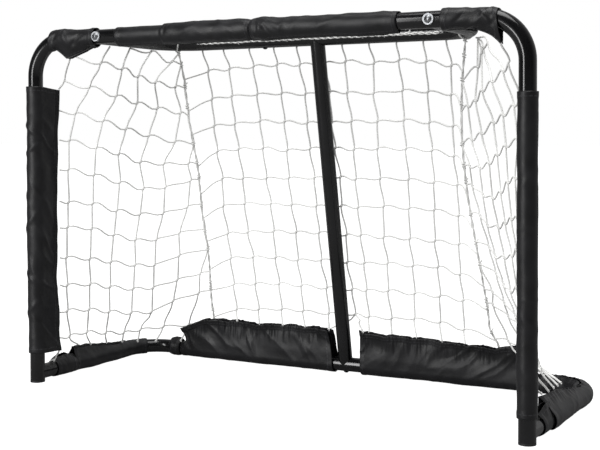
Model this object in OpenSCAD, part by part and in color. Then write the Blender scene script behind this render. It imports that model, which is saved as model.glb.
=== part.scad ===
// Small street hockey goal: a bolted frame of round steel tube, a knotted net,
// and nylon sleeves that hold the net's edges on the tubes.
// X runs along the goal line, Y from the mouth to the back, Z up.
// The origin is on the floor at the centre of the base.

/* [Goal] */
// Overall width over the two posts
goal_w = 790; // [650:1:960]
// Overall height over the crossbar
goal_h = 530; // [430:1:640]
// Depth of the base, between tube centres
base_depth = 282; // [235:1:340]
// Depth of the top, between tube centres
top_depth = 187; // [155:1:225]
// Distance from a post's outer face to the nearer crossbar screw
screw_inset = 135; // [112:1:160]

/* [Tubes] */
// Outside diameter of every frame tube
tube_d = 22; // [18:0.5:27]
// Wall of every frame tube
tube_wall = 1.2; // [0.9:0.1:1.6]
// Bend radius of the front corners, on the tube's centre line
corner_r = 55; // [45:1:66]
// Bend radius of the base corners, on the tube's centre line
base_corner_r = 50; // [40:1:60]
// Bend radius of the top tube's corners, on the tube's centre line
top_corner_r = 60; // [48:1:72]
// Clear height under the base tubes
base_gap = 3; // [3:0.1:6]

/* [Tube joints] */
// Length of the reduced end that slides into the next tube
spigot_len = 40; // [32:1:48]
// Clearance all round a reduced end in its tube
spigot_gap = 0.2; // [0.1:0.05:0.4]
// Visible line between two joined tubes
joint_line = 0.3; // [0.1:0.1:0.6]
// Place of the base joint along X
base_joint_x = 18; // [12:1:22]
// Distance of the top joint to the left of the centre
top_joint_x = 75; // [60:1:90]
// Distance from the top joint's line to its screw
joint_screw_off = 15; // [10:1:25]
// Length of the welded stub behind each post, from the post's face
stub_len = 12; // [8:1:18]
// Gap between a coped tube end and the tube that it sits on
cope_gap = 0.2; // [0.1:0.05:0.4]

/* [Fasteners] */
// Diameter of the crossbar and brace screws
screw_d = 6; // [5:0.5:8]
// Clearance all round a screw in its hole
screw_gap = 0.2; // [0.1:0.05:0.4]
// Head diameter of the crossbar screws
head_d = 10.5; // [9:0.5:12.5]
// Head height of the crossbar screws
head_h = 3.5; // [3:0.5:5]
// Key size of the crossbar screws
key_af = 4; // [3:0.5:5]
// Depth of the key socket
key_depth = 2.2; // [1.5:0.1:3]
// Diameter of the saddle washers
washer_d = 14.5; // [13:0.5:17]
// Thickness of the saddle washers at their crown
washer_t = 2; // [1.5:0.1:3]
// Head diameter of the brace screws
brace_head_d = 9.5; // [8:0.5:11]
// Head height of the brace screws
brace_head_h = 3; // [2:0.1:3]
// Length of the threaded plugs inside the tube ends
insert_len = 18; // [14:1:24]
// How far a threaded plug sits inside the coped end
insert_set = 14; // [11:1:18]
// Diameter of the top joint's screw
joint_screw_d = 4; // [3:0.5:5]
// Head diameter of the top joint's screw
joint_head_d = 8; // [7:0.5:10]
// Head height of the top joint's screw
joint_head_h = 2.2; // [1.5:0.1:3]
// Thickness of a foot plug's head
foot_h = 3; // [2:0.5:5]
// Length of a foot plug's stem
foot_stem = 16; // [12:1:20]

/* [Sleeves] */
// Thickness of the sewn nylon
cloth_t = 1.2; // [0.8:0.1:1.6]
// Clearance all round a tube in its sleeve
cloth_gap = 0.3; // [0.2:0.1:0.5]
// Height of the left post sleeve's lower end
left_sleeve_z = 48; // [40:1:58]
// Height of the right post sleeve's lower end
right_sleeve_z = 32; // [30:1:38]
// Distance from a front bend to the post sleeve's upper end
sleeve_bend_gap = 18; // [12:1:24]
// How much lower the right post sleeve ends than the left one
right_sleeve_drop = 19; // [0:1:24]
// Reach of the post sleeves' flap towards the net, from the tube's centre
post_flap = 38; // [32:1:46]
// Angle of that flap from straight back, towards the middle
post_flap_turn = 34; // [28:1:40]
// Bare crossbar beside a top tube, on the side of the corner
corner_bare = 1; // [0.5:0.5:5]
// Bare crossbar beside a top tube, on the side of the middle
middle_bare = 22; // [10:1:28]
// How far the corner sleeves run round the front bends, in degrees
corner_wrap = 28; // [20:1:36]
// Drop of the corner sleeves' pointed flap below the tube's centre
corner_drop = 31; // [26:1:37]
// Length of the tight end of the left crossbar sleeve
tight_len = 70; // [55:1:85]
// Extra thickness of the crossbar sleeves past their tight end
folded_t = 1.4; // [1:0.1:1.8]
// Bare tube behind a post's stub, before the first collar
leg_bare = 12; // [8:1:16]
// Length of the collars on the base tubes
collar_len = 46; // [38:1:55]
// Height of the left leg sleeve's flap, from the tube's centre
leg_flap = 28; // [24:1:34]
// Outside radius of the loose right leg sleeve
loose_r = 19; // [17:0.5:23]
// How far the left leg sleeve runs round its bend, in degrees
leg_wrap = 40; // [30:1:48]
// Height of the rear panels along the net, from the tube's centre
panel_h = 58; // [48:1:70]
// Distance from the middle to the rear panels
panel_in = 26; // [24:1:31]
// Length of the collar between a base bend and its rear panel
rear_collar = 22; // [18:1:26]

/* [Net] */
// Width and thickness of the net's cord
cord_t = 2; // [1.6:0.1:2.6]
// Diameter of the laced seams and of the top rope
seam_d = 3.6; // [3:0.1:4.4]
// Place of the seams on the top tube's bends, in degrees from the rear bar
seam_turn = 39; // [30:1:48]
// Distance from a rear panel's outer end to the foot of its seam
seam_inset = 60; // [48:1:72]
// Clearance between the net and what holds it
net_gap = 0.3; // [0.2:0.1:0.5]
// Meshes across the back
back_cols = 12; // [10:2:12]
// Meshes up the back
back_rows = 10; // [8:1:10]
// Meshes across each side
side_cols = 7; // [5:1:7]
// Meshes up each side
side_rows = 10; // [9:1:10]
// Meshes from front to back of the top
top_rows = 3; // [2:1:3]

/* [Hidden] */
$fn = 48;

// Tubes
tube_r = tube_d / 2;
bore_d = tube_d - 2 * tube_wall;
spigot_d = bore_d - 2 * spigot_gap;
spigot_bore = spigot_d - 2 * tube_wall;
past = 1; // how far a cutting shape runs past what it cuts

// Places of the tube centre lines
half_w = goal_w / 2 - tube_r;
top_z = goal_h - tube_r;
base_z = base_gap + tube_r;
front_y = -base_depth / 2;
back_y = base_depth / 2;
top_y = front_y + top_depth;
screw_x = goal_w / 2 - screw_inset;
corner_x = half_w - corner_r;
base_bend_x = half_w - base_corner_r;
base_bend_y = back_y - base_corner_r;
top_bend_x = screw_x - top_corner_r;
top_bend_y = top_y - top_corner_r;
leg_y = front_y + tube_r + stub_len;

// The brace and the back of the net lean alike
lean_run = back_y - top_y;
lean_rise = top_z - base_z;
brace_len = norm([lean_run, lean_rise]);
lean = atan2(lean_run, lean_rise);
up_back = [0, -sin(lean), cos(lean)];
out_back = [0, cos(lean), sin(lean)];

// Sleeves
sleeve_in = tube_r + cloth_gap;
sleeve_out = sleeve_in + cloth_t;
folded_out = sleeve_out + folded_t;
hem = 2.5 * cloth_t; // height of the sewn edge where a sleeve's two layers meet
hem_half = cloth_t;
lap = 0.1; // where a bent run starts inside the wall of a straight one
corner_end = screw_x + tube_r + corner_bare;
corner_tip = mix(corner_end, half_w, 0.45); // place of a corner flap's point along X
loose_in = loose_r - cloth_t;
loose_z = base_z + loose_in - tube_r - cloth_gap;
sleeve_top_z = top_z - corner_r - sleeve_bend_gap;
collar_y = leg_y + leg_bare;
sleeve_space = 2; // between two sleeves on one leg
leg_sleeve_y = collar_y + collar_len + sleeve_space;
collar_cut = 1; // between a rear panel and its collar's nominal end
panel_out = base_bend_x - rear_collar - collar_cut;

// Net
net_half = cord_t / 2;
net_reach = 1.5 * net_half; // a knot's corners stand out past its cords
net_off = tube_r + net_gap + net_reach;
seam_r = seam_d / 2;
seam_side = seam_r + net_gap + net_reach;
sewn_s = panel_h - hem / 2;
hem_off = mix(sleeve_out, hem_half, (sewn_s - net_reach) / panel_h) + net_gap;
tie_drop = 0.5; // how far the net's upper edge hangs clear of the top rear bar
tuck_s = brace_len - net_off - tie_drop;
tuck_off = 0.3 * net_off;

function mix(a, b, t) = a + (b - a) * t;
function unit(v) = v / norm(v);

// A place in the plane of the back: x across, s up the lean, d outside the tube centres
function back_at(x, s, d) = [x, back_y, base_z] + s * up_back + d * out_back;

// The n + 1 points that part a polyline into n equal lengths
function lengths(p) = [for (i = [0 : len(p) - 2]) norm(p[i + 1] - p[i])];
function total(v, i = 0) = i < len(v) ? v[i] + total(v, i + 1) : 0;
function walk(p, left, i = 0) =
    let (step = norm(p[i + 1] - p[i]))
    left <= step || i == len(p) - 2
        ? mix(p[i], p[i + 1], left / step)
        : walk(p, left - step, i + 1);
function spread(p, n) = [for (k = [0 : n]) walk(p, k / n * total(lengths(p)))];

// Knot (i, j) of a patch between four edges: front to rear over i, bottom to top over j
function patch(front, rear, low, high, i, j) =
    let (u = i / (len(low) - 1), v = j / (len(front) - 1), top = len(front) - 1)
    mix(front[j], rear[j], u) + mix(low[i], high[i], v)
    - mix(mix(front[0], rear[0], u), mix(front[top], rear[top], u), v);

// ---------- shared shapes ----------

// Straight round bar from a to b
module bar(a, b, d) {
    v = b - a;
    translate(a)
        rotate([0, acos(v[2] / norm(v)), atan2(v[1], v[0])])
            cylinder(h = norm(v), d = d);
}

// Ring segment in the XY plane, from angle a0 to a1
module bend(radius, d, a0, a1) {
    rotate([0, 0, a0])
        rotate_extrude(angle = a1 - a0)
            translate([radius, 0]) circle(d = d);
}

// Everything on the left has its twin on the right
module side(s) {
    if (s > 0) mirror([1, 0, 0]) children();
    else children();
}

// Runs of the three bent tubes on the left, with the bar ending at x = end_x
module front_run(d, end_x, low_z) {
    bar([-half_w, front_y, low_z], [-half_w, front_y, top_z - corner_r], d);
    translate([-corner_x, front_y, top_z - corner_r])
        rotate([90, 0, 0]) bend(corner_r, d, 90, 180);
    bar([-corner_x, front_y, top_z], [end_x, front_y, top_z], d);
}

module top_run(d, end_x, start_y) {
    bar([-screw_x, start_y, top_z], [-screw_x, top_bend_y, top_z], d);
    translate([-top_bend_x, top_bend_y, top_z]) bend(top_corner_r, d, 90, 180);
    bar([-top_bend_x, top_y, top_z], [end_x, top_y, top_z], d);
}

module base_run(d, end_x, start_y) {
    bar([-half_w, start_y, base_z], [-half_w, base_bend_y, base_z], d);
    translate([-base_bend_x, base_bend_y, base_z]) bend(base_corner_r, d, 90, 180);
    bar([-base_bend_x, back_y, base_z], [end_x, back_y, base_z], d);
}

// Reduced end that points to +X from the end of a left-hand run at x
module spigot_body(x, y, z) {
    bar([x, y, z], [x + spigot_len, y, z], spigot_d);
}

module spigot_cut(x, y, z) {
    bar([x - tube_wall - past, y, z], [x + spigot_len + past, y, z], spigot_bore);
}

// Frame of the brace: local Z runs from the base bar to the top bar
module on_brace() {
    translate([0, back_y, base_z]) rotate([lean, 0, 0]) children();
}

module brace_hole() {
    on_brace()
        translate([0, 0, -tube_r - past])
            cylinder(h = brace_len + tube_d + 2 * past, d = screw_d + 2 * screw_gap);
}

module joint_hole() {
    bar([-top_joint_x - joint_screw_off, top_y, top_z - tube_r - past],
        [-top_joint_x - joint_screw_off, top_y, top_z], joint_screw_d + 2 * screw_gap);
}

// Sleeve outline: a round tunnel with a flap drawn out to a sewn edge at height h
module flap(r, h, half_top) {
    foot = 0.9 * r;
    polygon([[-foot, 0], [foot, 0], [half_top, h], [-half_top, h]]);
}

module sleeve_section(h) {
    difference() {
        union() {
            circle(r = sleeve_out);
            flap(sleeve_out, h, hem_half);
        }
        circle(r = sleeve_in);
        flap(sleeve_in, h - hem, 0.1);
    }
}

module round_sleeve(a, b, r_out, r_in = sleeve_in) {
    v = unit(b - a);
    difference() {
        bar(a, b, 2 * r_out);
        bar(a - v * past, b + v * past, 2 * r_in);
    }
}

// Bent run of a sleeve: an end that joins a straight run starts 1 degree inside its wall
module bent_sleeve(radius, a0, a1, r_out = sleeve_out, r_in = sleeve_in) {
    difference() {
        bend(radius, 2 * (r_out - lap), a0, a1);
        bend(radius, 2 * (r_in + lap), a0 - 1, a1 + 1);
    }
}

// ---------- frame tubes ----------

// Post, corner and half of the crossbar, with the stub for the base tube welded on
module front_tube(s, end_x, has_spigot) {
    color("#17181a") side(s) difference() {
        union() {
            front_run(tube_d, end_x, foot_h);
            bar([-half_w, front_y, base_z], [-half_w, leg_y, base_z], tube_d);
            bar([-half_w, leg_y - past, base_z],
                [-half_w, leg_y + spigot_len, base_z], spigot_d);
            if (has_spigot) spigot_body(end_x, front_y, top_z);
        }
        front_run(bore_d, has_spigot ? end_x - tube_wall : end_x + past, foot_h - past);
        bar([-half_w, front_y + tube_r, base_z],
            [-half_w, leg_y + spigot_len + past, base_z], spigot_bore);
        if (has_spigot) spigot_cut(end_x, front_y, top_z);
        bar([-screw_x, front_y - tube_r - past, top_z],
            [-screw_x, front_y + tube_r + past, top_z], screw_d + 2 * screw_gap);
    }
}

// Half of the top rear tube, coped to the crossbar at the front
module top_tube(s, end_x, has_spigot) {
    color("#17181a") side(s) difference() {
        union() {
            top_run(tube_d, end_x, front_y);
            if (has_spigot) spigot_body(end_x, top_y, top_z);
        }
        top_run(bore_d, has_spigot ? end_x - tube_wall : end_x + past, front_y - past);
        bar([-half_w, front_y, top_z], [0, front_y, top_z], tube_d + 2 * cope_gap);
        if (has_spigot) spigot_cut(end_x, top_y, top_z);
        side(s) joint_hole();
        side(s) brace_hole();
    }
}

// Leg, corner and half of the rear bar of the base
module base_tube(s, end_x, has_spigot) {
    color("#17181a") side(s) difference() {
        union() {
            base_run(tube_d, end_x, leg_y + joint_line);
            if (has_spigot) spigot_body(end_x, back_y, base_z);
        }
        base_run(bore_d, has_spigot ? end_x - tube_wall : end_x + past, leg_y - past);
        if (has_spigot) spigot_cut(end_x, back_y, base_z);
        brace_hole();
    }
}

module front_tube_left() { front_tube(-1, -joint_line, false); }
module front_tube_right() { front_tube(1, 0, true); }
module top_tube_left() { top_tube(-1, -top_joint_x - joint_line, false); }
module top_tube_right() { top_tube(1, top_joint_x, true); }
module base_tube_left() { base_tube(-1, base_joint_x - joint_line, false); }
module base_tube_right() { base_tube(1, -base_joint_x, true); }

// Straight tube between the two rear bars, coped at both ends
module rear_brace() {
    color("#17181a") difference() {
        on_brace() cylinder(h = brace_len, d = tube_d);
        on_brace() translate([0, 0, -past]) cylinder(h = brace_len + 2 * past, d = bore_d);
        bar([-tube_d, back_y, base_z], [tube_d, back_y, base_z], tube_d + 2 * cope_gap);
        bar([-tube_d, top_y, top_z], [tube_d, top_y, top_z], tube_d + 2 * cope_gap);
    }
}

// ---------- fasteners and plugs ----------

// Flat plugs that close the posts and carry the front of the goal
module foot_plugs() {
    color("#202123") for (s = [-1, 1]) translate([s * half_w, front_y, 0]) {
        cylinder(h = foot_h, d = tube_d);
        translate([0, 0, foot_h]) cylinder(h = foot_stem, d = spigot_d);
    }
}

// Domed head with a hexagon socket, on the local XY plane
module domed_head(d, h) {
    ball = (d * d / 4 + h * h) / (2 * h);
    intersection() {
        translate([0, 0, h - ball]) sphere(r = ball);
        cylinder(h = h + past, d = d);
    }
}

module key_socket(h) {
    translate([0, 0, h - key_depth])
        cylinder(h = key_depth + past, d = key_af / cos(30), $fn = 6);
}

// Through the crossbar into the plug of the top tube
module front_screws() {
    color("#9a9ca0") for (s = [-1, 1])
        translate([s * screw_x, front_y - tube_r - washer_t, top_z]) rotate([90, 0, 0])
            difference() {
                union() {
                    domed_head(head_d, head_h);
                    translate([0, 0, -washer_t - tube_d - insert_set])
                        cylinder(h = washer_t + tube_d + insert_set + past, d = screw_d);
                }
                key_socket(head_h);
            }
}

// Round washers with a saddle that fits the crossbar
washer_saddle = 4; // how far a washer's sides reach round the crossbar

module saddle_washers() {
    color("#9a9ca0") for (s = [-1, 1]) difference() {
        bar([s * screw_x, front_y - tube_r - washer_t, top_z],
            [s * screw_x, front_y - tube_r + washer_saddle, top_z], washer_d);
        bar([s * screw_x - washer_d, front_y, top_z],
            [s * screw_x + washer_d, front_y, top_z], tube_d);
        bar([s * screw_x, front_y - tube_r - washer_t - past, top_z],
            [s * screw_x, front_y, top_z], screw_d + 2 * screw_gap);
    }
}

// Threaded plug inside a tube end, along local +Z
module insert() {
    difference() {
        cylinder(h = insert_len, d = bore_d - 2 * spigot_gap);
        translate([0, 0, -past])
            cylinder(h = insert_len + 2 * past, d = screw_d + 2 * screw_gap);
    }
}

module top_tube_inserts() {
    color("#85878a") for (s = [-1, 1])
        translate([s * screw_x, front_y + tube_r + cloth_t, top_z]) rotate([-90, 0, 0]) insert();
}

module brace_screws() {
    reach = tube_d + insert_set;
    color("#1d1e20") for (end = [0, 1]) on_brace()
        translate([0, 0, end * brace_len]) mirror([0, 0, 1 - end]) translate([0, 0, tube_r]) {
            domed_head(brace_head_d, brace_head_h);
            translate([0, 0, -reach]) cylinder(h = reach + past, d = screw_d);
        }
}

module brace_inserts() {
    color("#85878a") for (end = [0, 1]) on_brace()
        translate([0, 0, end * brace_len]) mirror([0, 0, end])
            translate([0, 0, tube_r + cloth_t]) insert();
}

// Small screw from below that locks the joint of the top tube
module top_joint_screw() {
    tip = 2; // how far the screw ends past the reduced end's wall
    depth = tube_wall + spigot_gap + tube_wall + tip;
    color("#1d1e20")
        translate([-top_joint_x - joint_screw_off, top_y, top_z - tube_r]) mirror([0, 0, 1]) {
            domed_head(joint_head_d, joint_head_h);
            translate([0, 0, -depth]) cylinder(h = depth + past, d = joint_screw_d);
        }
}

// ---------- sleeves ----------

// The flap of a post sleeve points along the side of the net
module post_sleeve(s, low_z, high_z) {
    color("#232326") side(s) translate([-half_w, front_y, low_z])
        rotate([0, 0, -post_flap_turn])
            linear_extrude(height = high_z - low_z) sleeve_section(post_flap);
}

module post_sleeve_left() { post_sleeve(-1, left_sleeve_z, sleeve_top_z); }
module post_sleeve_right() {
    post_sleeve(1, right_sleeve_z, sleeve_top_z - right_sleeve_drop);
}

// Short sleeve on the corner, with a pointed flap that hangs inside the bend
module corner_sleeve(s) {
    color("#232326") side(s) {
        round_sleeve([-corner_x, front_y, top_z], [-corner_end, front_y, top_z], sleeve_out);
        translate([-corner_x, front_y, top_z - corner_r]) rotate([90, 0, 0])
            bent_sleeve(corner_r, 90 - 1, 90 + corner_wrap);
        difference() {
            translate([0, front_y + cloth_t, top_z]) rotate([90, 0, 0])
                linear_extrude(height = 2 * cloth_t)
                    polygon([[-corner_x, 0], [-corner_end, 0], [-corner_end, -sleeve_out],
                        [-corner_tip, -corner_drop], [-corner_x, -sleeve_out]]);
            bar([-half_w, front_y, top_z], [0, front_y, top_z], sleeve_in + sleeve_out);
        }
    }
}

module corner_sleeve_left() { corner_sleeve(-1); }
module corner_sleeve_right() { corner_sleeve(1); }

// The left crossbar sleeve is tight at its end and folded double after it
module crossbar_sleeve_left() {
    start = -screw_x + tube_r + middle_bare;
    color("#232326") {
        round_sleeve([start, front_y, top_z], [start + tight_len, front_y, top_z], sleeve_out);
        round_sleeve([start + tight_len, front_y, top_z], [-cloth_gap, front_y, top_z], folded_out);
    }
}

module crossbar_sleeve_right() {
    color("#232326")
        round_sleeve([0, front_y, top_z],
            [screw_x - tube_r - middle_bare, front_y, top_z], folded_out);
}

module leg_collar(s) {
    color("#232326") side(s)
        round_sleeve([-half_w, collar_y, base_z],
            [-half_w, collar_y + collar_len, base_z], sleeve_out);
}

module leg_collar_left() { leg_collar(-1); }
module leg_collar_right() { leg_collar(1); }

// Close sleeve on the left leg, with its flap up towards the net on the straight run
module leg_sleeve_left() {
    color("#232326") {
        translate([-half_w, base_bend_y, base_z]) rotate([90, 0, 0])
            linear_extrude(height = base_bend_y - leg_sleeve_y) sleeve_section(leg_flap);
        translate([-base_bend_x, base_bend_y, base_z])
            bent_sleeve(base_corner_r, 180 - leg_wrap, 180 + 1);
    }
}

// Loose sleeve on the right leg: the tube lies on the bottom of it
module leg_sleeve_right() {
    color("#232326") side(1) {
        round_sleeve([-half_w, leg_sleeve_y, loose_z], [-half_w, base_bend_y, loose_z],
            loose_r, loose_in);
        translate([-base_bend_x, base_bend_y, loose_z])
            bent_sleeve(base_corner_r, 90, 180 + 1, loose_r, loose_in);
    }
}

module rear_sleeve(s) {
    color("#232326") side(s)
        round_sleeve([-base_bend_x + cloth_gap, back_y, base_z],
            [-panel_out - collar_cut, back_y, base_z], sleeve_out);
}

module rear_collar_left() { rear_sleeve(-1); }
module rear_collar_right() { rear_sleeve(1); }

// Tall panel on the rear bar: two layers that meet in a hem under the net
module rear_panel(s) {
    color("#232326") side(s) translate([-panel_out, back_y, base_z])
        rotate([lean, 0, 0]) rotate([90, 0, 90])
            linear_extrude(height = panel_out - panel_in) sleeve_section(panel_h);
}

module rear_panel_left() { rear_panel(-1); }
module rear_panel_right() { rear_panel(1); }

// ---------- net ----------

// Knotted net as one closed lattice of square bars over a grid of points
module lattice(grid) {
    nu = len(grid) - 1;
    nv = len(grid[0]) - 1;
    h = net_half;
    function du(i, j) = unit(grid[min(i + 1, nu)][j] - grid[max(i - 1, 0)][j]);
    function dv(i, j) = unit(grid[i][min(j + 1, nv)] - grid[i][max(j - 1, 0)]);
    points = [for (i = [0 : nu]) for (j = [0 : nv])
        let (a = du(i, j), b = dv(i, j), n = unit(cross(a, b)))
        for (k = [-1, 1]) for (p = [-1, 1]) for (q = [-1, 1])
            grid[i][j] + h * (k * n + p * a + q * b)];
    // Corner of the knot at (i, j): k is the face, p and q the sides across u and v
    function at(i, j, k, p, q) = 8 * (i * (nv + 1) + j) + 4 * k + 2 * p + q;
    function quad(a, b, c, d) = [[a, b, c], [a, c, d]];
    knots = [for (i = [0 : nu]) for (j = [0 : nv]) for (t = concat(
        quad(at(i, j, 0, 0, 0), at(i, j, 0, 1, 0), at(i, j, 0, 1, 1), at(i, j, 0, 0, 1)),
        quad(at(i, j, 1, 0, 0), at(i, j, 1, 0, 1), at(i, j, 1, 1, 1), at(i, j, 1, 1, 0)))) t];
    along_u = [for (i = [0 : nu - 1]) for (j = [0 : nv]) for (t = concat(
        quad(at(i, j, 0, 1, 0), at(i + 1, j, 0, 0, 0), at(i + 1, j, 0, 0, 1), at(i, j, 0, 1, 1)),
        quad(at(i, j, 1, 1, 0), at(i, j, 1, 1, 1), at(i + 1, j, 1, 0, 1), at(i + 1, j, 1, 0, 0)),
        quad(at(i, j, 0, 1, 0), at(i, j, 1, 1, 0), at(i + 1, j, 1, 0, 0), at(i + 1, j, 0, 0, 0)),
        quad(at(i, j, 0, 1, 1), at(i + 1, j, 0, 0, 1), at(i + 1, j, 1, 0, 1), at(i, j, 1, 1, 1)))) t];
    along_v = [for (i = [0 : nu]) for (j = [0 : nv - 1]) for (t = concat(
        quad(at(i, j, 0, 0, 1), at(i, j, 0, 1, 1), at(i, j + 1, 0, 1, 0), at(i, j + 1, 0, 0, 0)),
        quad(at(i, j, 1, 0, 1), at(i, j + 1, 1, 0, 0), at(i, j + 1, 1, 1, 0), at(i, j, 1, 1, 1)),
        quad(at(i, j, 0, 0, 1), at(i, j + 1, 0, 0, 0), at(i, j + 1, 1, 0, 0), at(i, j, 1, 0, 1)),
        quad(at(i, j, 0, 1, 1), at(i, j, 1, 1, 1), at(i, j + 1, 1, 1, 0), at(i, j + 1, 0, 1, 0)))) t];
    ends_u = [for (j = [0 : nv]) for (t = concat(
        quad(at(0, j, 0, 0, 0), at(0, j, 0, 0, 1), at(0, j, 1, 0, 1), at(0, j, 1, 0, 0)),
        quad(at(nu, j, 0, 1, 0), at(nu, j, 1, 1, 0), at(nu, j, 1, 1, 1), at(nu, j, 0, 1, 1)))) t];
    ends_v = [for (i = [0 : nu]) for (t = concat(
        quad(at(i, 0, 0, 0, 0), at(i, 0, 1, 0, 0), at(i, 0, 1, 1, 0), at(i, 0, 0, 1, 0)),
        quad(at(i, nv, 0, 0, 1), at(i, nv, 0, 1, 1), at(i, nv, 1, 1, 1), at(i, nv, 1, 0, 1)))) t];
    polyhedron(points, concat(knots, along_u, along_v, ends_u, ends_v));
}

// Seams run from the hems of the rear panels to the underside of the top bends
seam_foot_point = back_at(-panel_out + seam_inset, sewn_s, hem_off + seam_r);
seam_top_point = [-top_bend_x - top_corner_r * sin(seam_turn),
    top_bend_y + top_corner_r * cos(seam_turn), top_z - net_off - tie_drop - net_half];

// The back is flat behind the brace, and is drawn in to the hems and the top bar
function back_point(i, j) =
    let (edge = mix(seam_foot_point, seam_top_point, j / back_rows) + [seam_side, 0, 0],
        s = mix(sewn_s, tuck_s, j / back_rows),
        off = i == back_cols / 2 ? net_off
            : j == 0 ? hem_off + net_reach
            : j == back_rows ? tuck_off : net_off)
    i == 0 ? edge
    : i == back_cols ? [-edge[0], edge[1], edge[2]]
    : back_at(mix(edge[0], -edge[0], i / back_cols), s, off);

module net_back() {
    color("#dcdcd8")
        lattice([for (i = [0 : back_cols]) [for (j = [0 : back_rows]) back_point(i, j)]]);
}

// Each side hangs from the leg of the top tube and the corner flap,
// and is held by the post sleeve, the leg sleeve and the seam
post_edge = post_flap + net_gap + net_reach;
side_edge = [for (z = [left_sleeve_z, sleeve_top_z])
    [-half_w + post_edge * sin(post_flap_turn), front_y + post_edge * cos(post_flap_turn), z]];
side_front = spread(concat(side_edge, [
    [-corner_tip, side_edge[0][1], top_z - corner_drop - net_reach],
    [-screw_x, side_edge[0][1], top_z - net_off]]), side_rows);
panel_rows = 2; // rows of a side that are tied along the end of the rear panel
first_tie = 20; // height of the lowest tie on the end of a rear panel
panel_end = back_at(-panel_out - net_reach - net_gap, first_tie, net_off);
seam_low = seam_foot_point + [-seam_side, 0, 0];
seam_high = seam_top_point + [-seam_side, 0, 0];
side_rear = concat([for (k = [0 : panel_rows - 1]) mix(panel_end, seam_low, k / panel_rows)],
    spread([seam_low, seam_high], side_rows - panel_rows));
leg_top_z = base_z + leg_flap + net_gap + net_reach;
corner_share = 0.15; // how far the lower edge cuts across the base corner
side_swell = 16; // how far a side stands out beside the rear panel's end
side_low = spread([side_front[0], [-half_w, front_y + 0.5 * base_depth, leg_top_z],
    [-half_w + corner_share * base_corner_r, back_y - corner_share * base_corner_r, leg_top_z],
    side_rear[0]], side_cols);
side_high = spread([side_front[side_rows], side_rear[side_rows]], side_cols);

function side_point(i, j) =
    let (u = i / side_cols, v = j / side_rows)
    patch(side_front, side_rear, side_low, side_high, i, j)
    + side_swell * 10 * pow(u, 3) * (1 - u) * pow(1 - v, 2) * out_back;

module side_net() {
    color("#dcdcd8")
        lattice([for (i = [0 : side_cols]) [for (j = [0 : side_rows]) side_point(i, j)]]);
}

module net_left() { side_net(); }
module net_right() { mirror([1, 0, 0]) side_net(); }

// The top lies between the crossbar and the top tube, and follows its bends
function in_bend(p) =
    let (c = [top_bend_x, top_bend_y], v = [abs(p[0]), p[1]] - c, r = top_corner_r - net_off)
    v[0] > 0 && v[1] > 0 && norm(v) > r
        ? [sign(p[0]) * (c[0] + r * v[0] / norm(v)), c[1] + r * v[1] / norm(v), p[2]]
        : p;

module net_top() {
    w = screw_x - net_off;
    low_y = front_y + folded_out + net_gap + net_reach;
    color("#dcdcd8") lattice([for (i = [0 : back_cols]) [for (j = [0 : top_rows])
        in_bend([mix(-w, w, i / back_cols), mix(low_y, top_y - net_off, j / top_rows), top_z])]]);
}

module seam_cord(s) {
    color("#cfcfcb") side(s) bar(seam_foot_point, seam_top_point, seam_d);
}

module seam_cord_left() { seam_cord(-1); }
module seam_cord_right() { seam_cord(1); }

// Rope that laces the net to the top tube
module top_rope() {
    reach = tube_r + net_gap + seam_r;
    color("#cfcfcb")
        bar([-top_bend_x, top_y - reach * sin(50), top_z + reach * cos(50)],
            [top_bend_x, top_y - reach * sin(50), top_z + reach * cos(50)], seam_d);
}

front_tube_left();
front_tube_right();
top_tube_left();
top_tube_right();
base_tube_left();
base_tube_right();
rear_brace();
foot_plugs();
front_screws();
saddle_washers();
top_tube_inserts();
brace_screws();
brace_inserts();
top_joint_screw();
post_sleeve_left();
post_sleeve_right();
corner_sleeve_left();
corner_sleeve_right();
crossbar_sleeve_left();
crossbar_sleeve_right();
leg_collar_left();
leg_collar_right();
leg_sleeve_left();
leg_sleeve_right();
rear_collar_left();
rear_collar_right();
rear_panel_left();
rear_panel_right();
net_back();
net_left();
net_right();
net_top();
seam_cord_left();
seam_cord_right();
top_rope();
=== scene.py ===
"""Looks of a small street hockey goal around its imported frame: finishes for the bolted steel
tubes, sewn nylon sleeves, a knotted net, and the lacing that holds the net on the tubes."""

import math
import random

import bmesh
import bpy
import numpy as np
from bpy.props import FloatProperty, FloatVectorProperty, IntProperty, PointerProperty
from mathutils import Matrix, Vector, noise


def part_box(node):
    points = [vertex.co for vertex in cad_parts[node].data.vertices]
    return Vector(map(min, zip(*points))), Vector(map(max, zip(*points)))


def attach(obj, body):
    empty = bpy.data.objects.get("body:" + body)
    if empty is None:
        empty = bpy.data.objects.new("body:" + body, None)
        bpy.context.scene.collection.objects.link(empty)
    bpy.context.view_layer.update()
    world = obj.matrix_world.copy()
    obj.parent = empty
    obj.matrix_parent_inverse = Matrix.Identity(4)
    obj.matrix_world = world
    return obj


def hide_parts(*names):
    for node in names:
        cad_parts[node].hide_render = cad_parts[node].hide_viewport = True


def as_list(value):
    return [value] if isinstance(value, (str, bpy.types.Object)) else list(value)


bl_info = {
    "name": "Street hockey goal",
    "version": (1, 0, 0),
    "blender": (4, 5, 0),
    "location": "View3D > Sidebar > Goal",
    "description": "Dresses a small street hockey goal: sleeves, knotted net, lacing, finishes",
    "category": "Object",
}

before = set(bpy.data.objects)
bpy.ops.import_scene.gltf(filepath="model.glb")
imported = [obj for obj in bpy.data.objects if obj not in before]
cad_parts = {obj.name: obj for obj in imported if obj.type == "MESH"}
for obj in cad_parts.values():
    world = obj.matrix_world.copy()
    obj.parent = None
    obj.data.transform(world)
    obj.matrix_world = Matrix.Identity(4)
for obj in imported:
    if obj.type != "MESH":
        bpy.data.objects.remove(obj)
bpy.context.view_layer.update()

MM = 0.001
UP = Vector((0, 0, 1))
SIDES = {"left": -1, "right": 1}  # sign of X

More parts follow.
